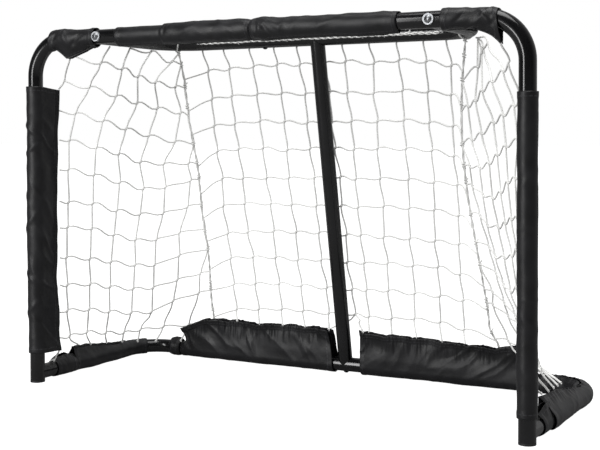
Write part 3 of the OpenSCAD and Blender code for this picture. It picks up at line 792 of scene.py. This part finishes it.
def side_net(side, seed):
    """One side: rows from the post to the seam, columns from the leg up to the top tube."""
    settings = bpy.context.scene.goal_net
    draw = random.Random(seed)
    sign = SIDES[side]
    flap_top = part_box("post_sleeve_" + side)[1].z
    ties = SIDE_TIES[side]
    edge = [post_edge(sign, flap_top), place_mm(sign, *ties["bead"]),
            place_mm(sign, *ties["corner"])]
    panel_end = place_mm(sign, *PANEL_END)
    rows = []
    columns = {}
    for front_z, rear_z, sag, first in SIDE_ROWS[side]:
        front = post_edge(sign, front_z * MM)
        if 450 < front_z < 480:  # the row above the sleeve is tied to the bead
            front = edge[1].copy()
        if front_z > 480:  # and the one above it to the crossbar's sleeve
            front = place_mm(sign, 306, -140, front_z)
        rear = seam_at(sign, rear_z * MM)
        if rear_z < SEAM_FOOT:
            share = (rear_z - PANEL_END[2]) / (SEAM_FOOT - PANEL_END[2])
            rear = mix(panel_end, seam_at(sign, SEAM_FOOT * MM), share)
        line = side_line(side, front, rear, sag * MM)
        length = path_length(line)
        row = [front]
        gone = first * MM
        k = 0
        while gone < length - 0.3 * settings.mesh:
            point = along(line, gone / length) + stray(draw, settings.stray)
            columns.setdefault(k, []).append(point)
            row.append(point)
            gone += settings.mesh * draw.uniform(0.94, 1.06)
            k += 1
        for extra in range(k, len(columns)):
            if (columns[extra][-1] - rear).length > 60 * MM or columns[extra][-1] in row:
                continue
            columns[extra].append(rear)
        row.append(rear)
        rows.append(row)
    feet, tops, upper = ([place_mm(sign, *spot) for spot in ties[part]]
                         for part in ("feet", "tops", "upper"))
    upper_end = seam_at(sign, ties["upper_end"] * MM)
    rows.append(upper + [upper_end])
    strands = []
    for k, points in columns.items():
        strand = [feet[min(k, len(feet) - 1)]] + points
        if len(points) == len(SIDE_ROWS[side]):
            if side == "right" and k < 4:
                strand.append(upper[k])
            strand.append(tops[k] if k < len(tops) else upper_end)
        strands.append(strand)
    tied = [strand[0] for strand in strands]
    strands.append(edge)
    strands.append([post_edge(sign, 49 * MM), place_mm(sign, 373, -108, 38),
                    place_mm(sign, 378, -110, 27.5), place_mm(sign, 384, -112, 26.5)])
    if side == "left":
        strands.append([upper[2], place_mm(sign, 240, 33, 505)])
    return net_piece("net_" + side, rows, strands, draw, feet=tied)


def back_net(seed):
    """The back: level rows between the seams, columns from the rear panels to the top bar."""
    settings = bpy.context.scene.goal_net
    draw = random.Random(seed)
    rows = []
    columns = [[hem_at((x + 4) * MM)] for x in BACK_FEET]
    columns[MIDDLE_COLUMN][0] = hem_at(-27 * MM)
    for j, height in enumerate(BACK_HEIGHTS):
        rise = (height * MM - BASE_Z) / math.cos(LEAN)
        drop = height * MM - draw.uniform(0.6, 1.4) * settings.seam_drop
        row = [seam_at(-1, drop)]
        for k, column in enumerate(columns):
            x = mix(BACK_FEET[k], BACK_TOPS[k], j / (len(BACK_HEIGHTS) - 1)) * MM
            sag = {0: 5.5, 1: 2, 9: 2, 10: 8}.get(k, 0) * MM  # towards the seams
            point = back_at(x, rise - sag, TUBE_R + 2 * MM) + stray(draw, settings.stray)
            column.append(point)
            row.append(point)
        row.append(seam_at(1, drop))
        rows.append(row)
    for k, column in enumerate(columns):
        for angle in (-50, 10, 70, 125):  # round the back of the top bar
            turn = math.radians(angle)
            column.append(Vector((BACK_TOPS[k] * MM, TOP_Y + 13 * MM * math.cos(turn),
                                  TOP_Z + 13 * MM * math.sin(turn))))
    # A second cord, from the right panel's inner tie, joins the middle column's first knot
    columns.append([hem_at(33 * MM), back_at(27 * MM, 70 * MM, 6 * MM),
                    columns[MIDDLE_COLUMN][1]])
    return net_piece("net_back", rows, columns, draw, feet=[column[0] for column in columns])


TOP_COLUMNS = [step * 42 * MM for step in range(-5, 6)]  # X of the top net's columns


def top_net(seed):
    """The top: three rows of meshes between the crossbar and the rear bar."""
    settings = bpy.context.scene.goal_net
    draw = random.Random(seed)
    depth = TOP_Y - FRONT_Y
    rows = []
    columns = [[Vector((x, FRONT_Y + 14 * MM, TOP_Z + 4 * MM))] for x in TOP_COLUMNS]
    for j in (1, 2, 3):
        y = FRONT_Y + depth * (j - 0.3) / 3.6
        height = TOP_Z + (3 + j) * MM
        row = [Vector((-SCREW_X + 13 * MM, y, height))]
        for x, column in zip(TOP_COLUMNS, columns):
            point = Vector((x, y, height)) + stray(draw, settings.stray / 2)
            column.append(point)
            row.append(point)
        row.append(Vector((SCREW_X - 13 * MM, y, height)))
        rows.append(row)
    for x, column in zip(TOP_COLUMNS, columns):
        column.append(Vector((x, TOP_Y - 11 * MM, TOP_Z + 9 * MM)))
    return net_piece("net_top", rows, columns, draw)


# ---------- settings ----------


class GoalFrameSettings(bpy.types.PropertyGroup):
    """Finish of the tubes"""

    peel: FloatProperty(name="Orange peel", description="Width of the ripples in the enamel",
                        default=9 * MM, unit="LENGTH")


class GoalClothSettings(bpy.types.PropertyGroup):
    """Sizes and colours of the nylon sleeves"""

    thickness: FloatProperty(name="Thickness", description="Thickness of the nylon",
                             default=0.7 * MM, unit="LENGTH")
    gap: FloatProperty(name="Gap", description="From a tube to the middle of a tight sleeve",
                       default=0.75 * MM, unit="LENGTH")
    post_flap: FloatProperty(name="Post flap",
                             description="From a post's centre to the net's edge",
                             default=36 * MM, unit="LENGTH")
    thread: FloatProperty(name="Thread pitch", description="Drawn spacing of the threads",
                          default=0.7 * MM, unit="LENGTH")
    stitch: FloatProperty(name="Stitch", description="Length of one stitch",
                          default=3 * MM, unit="LENGTH")
    stitch_line: FloatProperty(name="Stitch line", description="From an edge to its stitches",
                               default=6 * MM, unit="LENGTH")
    # Painted shade and painted light: the first colour is the nylon darkened as painted shade in
    # its folds, the second is lightened as painted light on its ridges
    colour: FloatVectorProperty(name="Colour", description="Nylon in its folds",
                                subtype="COLOR", default=srgb("0c0c0e"))
    ridge_lit_colour: FloatVectorProperty(name="Ridge light colour", description="Nylon on its ridges",
                                     subtype="COLOR", default=srgb("151518"))


class GoalNetSettings(bpy.types.PropertyGroup):
    """Sizes and colours of the net and its lacing"""

    cord: FloatProperty(name="Cord", description="Diameter of the net's cord",
                        default=2.6 * MM, unit="LENGTH")
    mesh: FloatProperty(name="Mesh", description="Distance from knot to knot",
                        default=41 * MM, unit="LENGTH")
    stray: FloatProperty(name="Stray", description="How far a knot lies from its even place",
                         default=2 * MM, unit="LENGTH")
    droop: FloatProperty(name="Droop", description="How steeply a row's cords leave a knot",
                         default=0.22)
    seam_drop: FloatProperty(name="Seam drop", description="How far a row falls to the seam",
                             default=22 * MM, unit="LENGTH")
    right_bow: FloatProperty(name="Right bow", description="Inward bow of the right seam",
                             default=18 * MM, unit="LENGTH")
    seam_cord: FloatProperty(name="Lacing", description="Diameter of the lacing cord",
                             default=2 * MM, unit="LENGTH")
    seed: IntProperty(name="Seed", description="Start of the net's small irregularities",
                      default=7)
    colour: FloatVectorProperty(name="Colour", description="Net cord", subtype="COLOR",
                                default=srgb("e6e6e4"))
    lacing_colour: FloatVectorProperty(name="Lacing colour", description="Lacing cord",
                                       subtype="COLOR", default=srgb("d8d8d6"))


class GoalStageSettings(bpy.types.PropertyGroup):
    """Light and floor"""

    key: FloatProperty(name="Key light", description="Power of the softbox in front",
                       default=38, unit="POWER")
    top: FloatProperty(name="Top light", description="Power of the softbox overhead",
                       default=38, unit="POWER")
    fill: FloatProperty(name="Fill", description="Strength of the light from all round",
                        default=1.0)
    floor_colour: FloatVectorProperty(name="Floor", description="Colour of the floor",
                                      subtype="COLOR", default=srgb("808080"))


# ---------- operators ----------


CAMERA_PLACE = (0.8284, -1.532, 0.3769)
CAMERA_TURN = (88.802, 0.151, 29.103)  # degrees
CAMERA_SHIFT = (0.0196, -0.111)
FOCAL_LENGTH = 71.341  # mm, on a sensor 36 mm wide
LIGHT_AIM = Vector((0, 0, 0.25))


class GOAL_OT_stage(bpy.types.Operator):
    """Camera, floor, softboxes and surroundings"""

    bl_idname = "goal.stage"
    bl_label = "Stage"

    def execute(self, context):
        scene = context.scene
        lens = bpy.data.cameras.new("camera")
        lens.sensor_width = 36
        lens.lens = FOCAL_LENGTH
        lens.shift_x, lens.shift_y = CAMERA_SHIFT
        lens.clip_start = 0.05
        camera = bpy.data.objects.new("camera", lens)
        camera.location = CAMERA_PLACE
        camera.rotation_euler = [math.radians(turn) for turn in CAMERA_TURN]
        scene.collection.objects.link(camera)
        scene.camera = camera
        scene.view_settings.view_transform = "Standard"
        self.floor(scene)
        self.surroundings(scene)
        self.softbox(scene, "key", (-1.1, -2.3, 0.9), (0.5, 1.9), scene.goal_stage.key)
        self.softbox(scene, "top", (0.3, -0.4, 2.6), (1.6, 1.6), scene.goal_stage.top)
        return {"FINISHED"}

    def floor(self, scene):
        """A wide pale floor that keeps the goal's shadow and stays white to the camera."""
        mesh = bmesh.new()
        bmesh.ops.create_grid(mesh, x_segments=1, y_segments=1, size=30)
        data = bpy.data.meshes.new("floor")
        mesh.to_mesh(data)
        mesh.free()
        material = bpy.data.materials.new("pale_floor")
        tree = clear_tree(material)
        paint = add_node(tree, "ShaderNodeBsdfDiffuse",
                         {"Color": (*scene.goal_stage.floor_colour, 1)})
        lift = add_node(tree, "ShaderNodeEmission", {"Color": (1, 1, 1, 1), "Strength": 1.0})
        shown = add_node(tree, "ShaderNodeAddShader", {0: paint.outputs[0], 1: lift.outputs[0]})
        rays = add_node(tree, "ShaderNodeLightPath")
        seen = add_node(tree, "ShaderNodeMath", {0: rays.outputs["Is Camera Ray"],
                                                 1: rays.outputs["Is Transmission Ray"]},
                        operation="MAXIMUM")
        both = add_node(tree, "ShaderNodeMixShader", {0: seen.outputs[0], 1: paint.outputs[0],
                                                      2: shown.outputs[0]})
        add_node(tree, "ShaderNodeOutputMaterial", {"Surface": both.outputs[0]})
        data.materials.append(material)
        floor = bpy.data.objects.new("floor", data)
        scene.collection.objects.link(floor)

    def surroundings(self, scene):
        """White to the camera and behind the goal, dim in front of it, as in a studio."""
        world = bpy.data.worlds.new("studio")
        scene.world = world
        tree = clear_tree(world)
        rays = add_node(tree, "ShaderNodeLightPath")
        view = add_node(tree, "ShaderNodeTexCoord")
        depth = add_node(tree, "ShaderNodeSeparateXYZ", {0: view.outputs["Generated"]})
        backdrop = add_node(tree, "ShaderNodeMapRange",
                            {0: depth.outputs["Y"], 1: -0.2, 2: 0.9, 3: 0.06, 4: 0.5})
        mirrored_ray = add_node(tree, "ShaderNodeMath", {0: rays.outputs["Is Glossy Ray"],
                                                         1: backdrop.outputs[0]},
                                operation="MULTIPLY")
        shown = add_node(tree, "ShaderNodeMath", {0: rays.outputs["Is Camera Ray"],
                                                  1: rays.outputs["Is Transmission Ray"]},
                         operation="MAXIMUM")
        seen = add_node(tree, "ShaderNodeMath", {0: shown.outputs[0],
                                                 1: mirrored_ray.outputs[0]},
                        operation="MAXIMUM")
        fill = add_node(tree, "ShaderNodeMath", {0: seen.outputs[0],
                                                 1: rays.outputs["Is Diffuse Ray"]},
                        operation="MAXIMUM")
        dim = add_node(tree, "ShaderNodeMix", {0: rays.outputs["Is Diffuse Ray"],
                                               2: fill.outputs[0], 3: scene.goal_stage.fill})
        light = add_node(tree, "ShaderNodeBackground", {"Color": (1, 1, 1, 1),
                                                        "Strength": dim.outputs[0]})
        add_node(tree, "ShaderNodeOutputWorld", {"Surface": light.outputs[0]})

    def softbox(self, scene, name, place, size, power):
        """A rectangular lamp that faces the goal."""
        lamp = bpy.data.lights.new(name, "AREA")
        lamp.shape = "RECTANGLE"
        lamp.size, lamp.size_y = size
        lamp.energy = power
        box = bpy.data.objects.new(name, lamp)
        box.location = place
        aim = LIGHT_AIM - Vector(place)
        box.rotation_euler = aim.to_track_quat("-Z", "Y").to_euler()
        scene.collection.objects.link(box)


class GOAL_OT_frame(bpy.types.Operator):
    """Enamel, plastic and plating on the tubes, plugs and screws"""

    bl_idname = "goal.frame"
    bl_label = "Frame finish"

    def execute(self, context):
        finishes = {
            gloss_black_enamel(): ["front_tube_left", "front_tube_right", "top_tube_left",
                                   "top_tube_right", "base_tube_left", "base_tube_right",
                                   "rear_brace"],
            moulded_black_plastic(): ["foot_plugs"],
            bright_zinc_plate(): ["front_screws", "saddle_washers", "top_tube_inserts",
                                  "brace_inserts"],
            black_oxide_steel(): ["brace_screws", "top_joint_screw"],
        }
        for material, names in finishes.items():
            for name in names:
                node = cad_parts[name]
                node.data.materials.clear()
                node.data.materials.append(material)
        return {"FINISHED"}


class GOAL_OT_post_sleeves(bpy.types.Operator):
    """Long sleeves on the posts, with a flap that holds the net's edge"""

    bl_idname = "goal.post_sleeves"
    bl_label = "Post sleeves"

    def execute(self, context):
        # Reach of the flap by height up the sleeve, in mm, and the sleeves' fold lines
        flaps = {"left": [(0, 36.5), (30, 34), (110, 31), (250, 31.5), (330, 33), (400, 36.5)],
                 "right": [(0, 36), (400, 36)]}
        creases = {"left": [(340, 0.5, 0.55, 1.6, 3, 45), (305, 0.45, -0.5, 1.4, 3, 35),
                            (245, 0.6, 0.9, 1.3, 3, 40), (190, 0.5, -0.8, 1.4, 4, 45),
                            (120, 0.55, 0.6, 1.3, 3, 35), (60, 0.5, -0.7, 1.5, 4, 45)],
                   "right": [(144, 0.48, 0.02, 0.5, 2, 22), (115, 0.5, 0.6, 0.9, 5, 26),
                             (290, 0.5, -0.6, 0.7, 5, 26), (50, 0.5, 0.8, 0.8, 5, 26)]}
        # The left sleeve stands off its post by up to 5 mm, the right one by 2 mm
        for side, seed, loose in (("left", 1.0, 5), ("right", 2.0, 2)):
            sign = SIDES[side]
            low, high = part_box("post_sleeve_" + side)
            rise = 3 * MM if side == "left" else 0  # how far its ends are pulled apart
            toward = Vector((-sign * math.sin(POST_FLAP_TURN), math.cos(POST_FLAP_TURN), 0))

            def path(d, sign=sign, low=low, toward=toward):
                return Vector((sign * HALF_W, FRONT_Y, low.z + d)), toward, UP.cross(toward)

            def skew(u, v, rise=rise):
                slope = smooth(abs(2 * u - 1), 0.3, 1)
                return (rise - 4.5 * MM * slope) * smooth(v, 0.85, 1) - rise * (1 - v) ** 6

            def slack(d, u, loose=loose):
                return mix(0.28 * loose, loose, smooth(abs(2 * u - 1), 0.15, 0.6)) * MM

            def radius(d, loose=loose):
                return TUBE_R + mix(0.75, 0.4 * loose, smooth(d, 0.02, 0.12)) * MM

            sleeve("post_sleeve_" + side, path, high.z - low.z, (76, 200), seed=seed,
                   slack=slack, skew=skew, radius=radius, creases=fold_lines(creases[side]),
                   reach=lambda d, f=flaps[side]: steps(d / MM, f) * MM, sway=0.6 * loose * MM,
                   held="stretched", rests_on=["front_tube_" + side])
        return {"FINISHED"}


class GOAL_OT_corner_sleeves(bpy.types.Operator):
    """Sleeves on the front corners, with a pointed flap that hangs inside the bend"""

    bl_idname = "goal.corner_sleeves"
    bl_label = "Corner sleeves"

    def execute(self, context):
        bend = HALF_W - CORNER_R  # where the crossbar starts to bend
        # Reach of the flap by distance from the middle of the goal, in mm
        left = [(267, 12), (272, 14), (315, 30), (321, 30), (346, 11)]
        right = [(280, 12), (312, 12.5), (324, 17), (338, 22), (350, 27), (354, 26)]
        creases = {"left": [(25, 0.7, 0.9, -1.8, 4, 28), (50, 0.68, -0.5, 1.6, 4, 26),
                            (72, 0.72, 0.7, -1.6, 4, 24)],
                   "right": [(30, 0.3, 0.8, -1.4, 3, 25), (58, 0.28, -0.6, 1.5, 3.5, 25),
                             (70, 0.25, 0.9, -1.5, 3, 22)]}
        # wrap is how far the sleeve goes round the bend, in degrees
        for side, start, wrap, flap, seed in (("left", 267 * MM, 22, left, 4.0),
                                              ("right", 276 * MM, 24, right, 5.0)):
            sign = SIDES[side]
            length = bend - start + CORNER_R * math.radians(wrap)

            def place_along(d, start=start):
                turn = max(0, start + d - bend) / CORNER_R
                return min(start + d, bend) + CORNER_R * math.sin(turn), turn

            def path(d, sign=sign, place_along=place_along):
                x, turn = place_along(d)
                z = TOP_Z - CORNER_R * (1 - math.cos(turn))
                return (Vector((sign * x, FRONT_Y, z)), -UP / math.cos(turn),
                        Vector((0, sign, 0)))

            def skew(u, v):
                top = 1 - abs(2 * u - 1)
                return -3.5 * MM * top * smooth(v, 0.8, 1)

            sleeve("corner_sleeve_" + side, path, length, (64, 60),
                   reach=lambda d, a=place_along, f=flap: steps(a(d)[0] / MM, f) * MM,
                   seed=seed, skew=skew, pleat=0.8 * MM, hem=3 * MM, sway=2 * MM,
                   creases=fold_lines(creases[side]),
                   slack=lambda d, u: mix(2.6, 3.4, smooth(d, 0, 0.03)) * MM,
                   held="stretched", rests_on=["front_tube_" + side])
        return {"FINISHED"}


class GOAL_OT_crossbar_sleeves(bpy.types.Operator):
    """Sleeves on the middle of the crossbar: tight at the left end, then folded double"""

    bl_idname = "goal.crossbar_sleeves"
    bl_label = "Crossbar sleeves"

    def execute(self, context):
        creases = {"left": [(88, 0.3, 0.3, -1.2, 3, 20), (130, 0.3, 1.2, 1.2, 4, 30)],
                   "right": [(23, 0.27, -0.8, -2.2, 2.2, 17), (11, 0.3, -0.2, -1.4, 2, 15),
                             (40, 0.3, -1.0, 1.2, 4, 20), (120, 0.3, 1.2, 1.2, 4, 30)]}
        for side, seed in (("left", 6.0), ("right", 7.0)):
            low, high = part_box("crossbar_sleeve_" + side)
            # The left sleeve is tight for its first part and folded double after it. The right
            # one is a little shorter than its node, and its inner end is bunched up.
            short, tight, thick, bunch = ((0, 81 * MM, 2.8, 0) if side == "left"
                                          else (11 * MM, 0, 1.3, 2.2))
            length = high.x - low.x - short

            def path(d, low=low):
                return Vector((low.x + d, FRONT_Y, TOP_Z)), -UP, Vector((0, 1, 0))

            def radius(d, tight=tight, thick=thick, bunch=bunch, end=length):
                loose = smooth(d, tight, tight + 2 * MM) * smooth(end - d, 0, 12 * MM)
                rise = bunch * math.exp(-((d / MM - 16) / 13) ** 2)
                return TUBE_R + (mix(0.9, thick, loose) + rise) * MM

            sleeve("crossbar_sleeve_" + side, path, length, (44, 90),
                   reach=lambda d: TUBE_R + 3.5 * MM, radius=radius, seed=seed, hem=0,
                   slack=lambda d, u, t=tight, end=length: mix(
                       0.6, 2.2, smooth(d, t, t + 20 * MM) * smooth(end - d, 0, 25 * MM)) * MM,
                   creases=fold_lines(creases[side]),
                   held="stretched", rests_on=["front_tube_" + side])
        return {"FINISHED"}


def leg_path(sign, start):
    """Along a base leg from y = start, round its corner, and on along the rear bar."""
    bend_y = BACK_Y - BASE_CORNER_R
    straight = bend_y - start
    quarter = BASE_CORNER_R * math.pi / 2

    def path(d):
        turn = clamp((d - straight) / quarter) * math.pi / 2
        past = max(0, d - straight - quarter)
        x = HALF_W - BASE_CORNER_R * (1 - math.cos(turn)) - past
        y = start + min(d, straight) + BASE_CORNER_R * math.sin(turn)
        across = Vector((math.cos(turn), sign * math.sin(turn), 0))
        return Vector((sign * x, y, BASE_Z)), UP, across

    return path


class GOAL_OT_leg_sleeves(bpy.types.Operator):
    """Collars and sleeves on the legs of the base: close on the left, loose on the right"""

    bl_idname = "goal.leg_sleeves"
    bl_label = "Leg sleeves"

    def execute(self, context):
        for side, seed in (("left", 8.0), ("right", 9.0)):
            sign = SIDES[side]
            low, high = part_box("leg_collar_" + side)
            rise = 8 * MM if side == "right" else 0  # taller towards its rear end
            sleeve("leg_collar_" + side, leg_path(sign, low.y), high.y - low.y, (56, 40),
                   seed=seed, hem=0, pleat=2 * MM,
                   reach=lambda d, r=rise: TUBE_R + 3 * MM + r * smooth(d, 0.0, 0.03),
                   slack=lambda d, u: (1.6 + 6.4 * abs(2 * u - 1)) * MM * math.sin(
                       math.pi * clamp(d / 0.05)),
                   rests_on=["base_tube_" + side])
        self.left_sleeve()
        self.right_sleeve()
        for side, seed in (("left", 10.0), ("right", 11.0)):
            low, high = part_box("rear_collar_" + side)
            shift = 3 * MM if side == "left" else 0  # slid towards the panel

            def path(d, start=low.x + shift):
                return Vector((start + d, BACK_Y, BASE_Z)), UP, Vector((0, 1, 0))

            sleeve("rear_collar_" + side, path, high.x - low.x, (40, 12),
                   reach=lambda d: TUBE_R + 3 * MM, seed=seed, hem=0,
                   slack=lambda d, u: (1.6 + 3 * abs(2 * u - 1)) * MM * math.sin(
                       math.pi * clamp(d / 0.022)),
                   pleat=1 * MM, rests_on=["base_tube_" + side])
        return {"FINISHED"}

    def left_sleeve(self):
        """Close sleeve with a flap up to the net, round the start of the bend."""
        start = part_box("leg_sleeve_left")[0].y
        straight = BACK_Y - BASE_CORNER_R - start
        length = straight + BASE_CORNER_R * math.radians(40)
        # Reach of the flap by distance along the sleeve, in mm
        reach = [(0, 27), (30, 26), (80, 20), (120, 15.5), (150, 13), (length / MM, 12)]
        sleeve("leg_sleeve_left", leg_path(-1, start), length, (56, 80),
               reach=lambda d: steps(d / MM, reach) * MM + 1.5 * MM * ripple(5, d / 0.009, 1),
               seed=12.0, slack=lambda d, u: mix(2.2, 0.8, d / length) * MM, hem=4 * MM,
               pleat=0.8 * MM,
               skew=lambda u, v: -8 * MM * (1 - abs(2 * u - 1)) * (1 - smooth(v, 0, 0.1)),
               sway=1.5 * MM, held="stretched", rests_on=["base_tube_left"])

    def right_sleeve(self):
        """Loose sleeve that lies on the leg, gathered on top where the net pulls at it."""
        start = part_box("leg_sleeve_right")[0].y
        length = BACK_Y - BASE_CORNER_R - start + BASE_CORNER_R * math.pi / 2
        base = leg_path(1, start)
        lean = math.radians(16)  # the flap leans into the goal
        # Reach of the flap by distance along the sleeve, in mm
        reach = [(0, 30), (60, 26), (110, 18), (150, 14.5), (length / MM, 14)]

        def path(d):
            centre, toward, across = base(d)
            return (centre + 0.6 * MM * UP + 2.4 * MM * across,
                    math.cos(lean) * toward - math.sin(lean) * across,
                    math.cos(lean) * across + math.sin(lean) * toward)

        def skew(u, v):
            near = smooth(u, 0.44, 0.62) + 0.6 * smooth(0.5 - u, 0.1, 0.4)
            return -16 * MM * near * (1 - smooth(v, 0, 0.25))

        sleeve("leg_sleeve_right", path, length, (72, 110),
               reach=lambda d: steps(d / MM, reach) * MM + 1 * MM * ripple(2, d / 0.02, 5),
               radius=lambda d: 13 * MM, seed=13.0, slack=lambda d, u: 1.8 * MM, hem=2 * MM,
               pleat=2 * MM, skew=skew, sway=1.5 * MM, rests_on=["base_tube_right"])


class GOAL_OT_rear_panels(bpy.types.Operator):
    """Tall panels on the rear bar, gathered along the hem by the net's ties"""

    bl_idname = "goal.rear_panels"
    bl_label = "Rear panels"

    def execute(self, context):
        length = PANEL_OUT - PANEL_IN
        # Distances from the middle at which the net's ties pull the hem down, in mm
        ties = {"left": [25, 69, 109, 156, 211, 246], "right": [33, 74, 116, 163, 207, 250]}
        for side, seed in (("left", 14.0), ("right", 15.0)):
            sign = SIDES[side]

            def path(d, sign=sign):
                return (Vector((sign * (PANEL_OUT - d), BACK_Y, BASE_Z)), UP_BACK,
                        sign * OUT_BACK)

            def reach(d, ties=ties[side], stops=HEMS[side], seed=seed):
                x = PANEL_OUT - d
                tie = min(abs(x - at * MM) for at in ties)
                height = steps(x / MM, stops) * MM
                return height - 2.5 * MM * math.exp(-tie / (6 * MM)) + 0.8 * MM * ripple(
                    1, d / 0.015, seed)

            def slack(d, u):
                return mix(1.2, 4.0, smooth(abs(2 * u - 1), 0.2, 0.5)) * MM

            def skew(u, v, side=side):
                # The outer end is cut in between its corners, the inner end hangs uneven
                flap = smooth(abs(2 * u - 1), 0.3, 1)
                notch = 11 * MM * math.sin(math.pi * flap ** 0.8) * (1 - smooth(v, 0, 0.09))
                back = 6 * MM * flap if (u < 0.5) == (side == "left") else 0
                low = 6 * MM * (1 - flap) if side == "left" else 0
                outer = 5 * MM * (1 - smooth(v, 0, 0.12)) if side == "left" else 0
                inner = 2 * MM if side == "left" else -4.5 * MM
                return notch + outer + (inner + back + low) * smooth(v, 0.93, 1.0)

            sleeve("rear_panel_" + side, path, length, (84, 250), reach=reach, seed=seed,
                   slack=slack, skew=skew, pleat=3.5 * MM, radius=lambda d: TUBE_R + 1.3 * MM,
                   sway=2.5 * MM, hem=9 * MM, held="gathered", rests_on=["base_tube_" + side])
        return {"FINISHED"}


class GOAL_OT_net(bpy.types.Operator):
    """Knotted net: back, sides and top"""

    bl_idname = "goal.net"
    bl_label = "Net"

    def execute(self, context):
        seed = context.scene.goal_net.seed
        back_net(seed)
        side_net("left", seed + 1)
        side_net("right", seed + 2)
        top_net(seed + 3)
        return {"FINISHED"}


class GOAL_OT_lacing(bpy.types.Operator):
    """Laced seams between back and sides, and the rope on the rear top bar"""

    bl_idname = "goal.lacing"
    bl_label = "Lacing"

    def execute(self, context):
        settings = context.scene.goal_net
        for side, seed in (("left", 21), ("right", 22)):
            sign = SIDES[side]
            draw = random.Random(seed)
            curve = new_curve("seam_cord_" + side, settings.seam_cord, 3)
            foot = hem_at(sign * 241 * MM).z
            spots = [seam_at(sign, mix(foot, SEAM_TOP.z, k / 60)) for k in range(61)]
            twist(curve, spots, 0.9 * MM, 34 * MM, draw)
            bend = Vector((sign * (SCREW_X - 0.3 * TOP_CORNER_R), TOP_Y - 0.3 * TOP_CORNER_R,
                           TOP_Z))
            outward = Vector((sign, 1, 0)).normalized()
            # The lacing's upper end goes round the top tube's bend
            turns = [math.radians(-105 + 30 * k) for k in range(14)]
            add_cord(curve, even([bend + (TUBE_R + 1.2 * MM) * (
                math.cos(turn) * outward + math.sin(turn) * UP) for turn in turns]))
            for height in SEAM_KNOTS:
                tie(curve, seam_at(sign, height * MM), 2.4 * MM, draw)
            tie(curve, SEAM_TOP * Vector((sign, 1, 1)), 2.6 * MM, draw)
            cord_piece("seam_cord_" + side, curve, lacing_cord())
        draw = random.Random(23)
        curve = new_curve("top_rope", settings.seam_cord, 3)
        low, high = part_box("top_rope")
        spots = []
        for k in range(71):
            # Along the front of the bar, wandering a few degrees round it
            turn = math.radians(-3 + 4 * ripple(k / 5, 0, 3.0))
            spots.append(Vector((mix(low.x, high.x, k / 70),
                                 TOP_Y - (TUBE_R + 2 * MM) * math.cos(turn),
                                 TOP_Z + (TUBE_R + 2 * MM) * math.sin(turn))))
        twist(curve, spots, 1.3 * MM, 22 * MM, draw)
        for k in (12, 27, 49, 55, 62):  # spots where the net's ties bunch up
            tie(curve, spots[k], 1.8 * MM, draw)
        cord_piece("top_rope", curve, lacing_cord())
        return {"FINISHED"}


class GOAL_PT_panel(bpy.types.Panel):
    """Lists the steps that build the goal"""

    bl_idname = "GOAL_PT_panel"
    bl_label = "Street hockey goal"
    bl_space_type = "VIEW_3D"
    bl_region_type = "UI"
    bl_category = "Goal"

    def draw(self, context):
        for operator in OPERATORS:
            self.layout.operator(operator.bl_idname)
        for where, group in GROUPS.items():
            for name in group.__annotations__:
                self.layout.prop(getattr(context.scene, where), name)


GROUPS = {"goal_frame": GoalFrameSettings, "goal_cloth": GoalClothSettings,
          "goal_net": GoalNetSettings, "goal_stage": GoalStageSettings}
OPERATORS = [GOAL_OT_stage, GOAL_OT_frame, GOAL_OT_post_sleeves, GOAL_OT_corner_sleeves,
             GOAL_OT_crossbar_sleeves, GOAL_OT_leg_sleeves, GOAL_OT_rear_panels, GOAL_OT_net,
             GOAL_OT_lacing]


def register():
    for name, group in GROUPS.items():
        bpy.utils.register_class(group)
        setattr(bpy.types.Scene, name, PointerProperty(type=group))
    for operator in OPERATORS:
        bpy.utils.register_class(operator)
    bpy.utils.register_class(GOAL_PT_panel)


def unregister():
    bpy.utils.unregister_class(GOAL_PT_panel)
    for operator in reversed(OPERATORS):
        bpy.utils.unregister_class(operator)
    for name, group in reversed(GROUPS.items()):
        delattr(bpy.types.Scene, name)
        bpy.utils.unregister_class(group)


def main():
    register()
    bpy.ops.goal.stage()
    bpy.ops.goal.frame()
    bpy.ops.goal.post_sleeves()
    bpy.ops.goal.corner_sleeves()
    bpy.ops.goal.crossbar_sleeves()
    bpy.ops.goal.leg_sleeves()
    bpy.ops.goal.rear_panels()
    bpy.ops.goal.net()
    bpy.ops.goal.lacing()


if __name__ == "__main__":
    main()
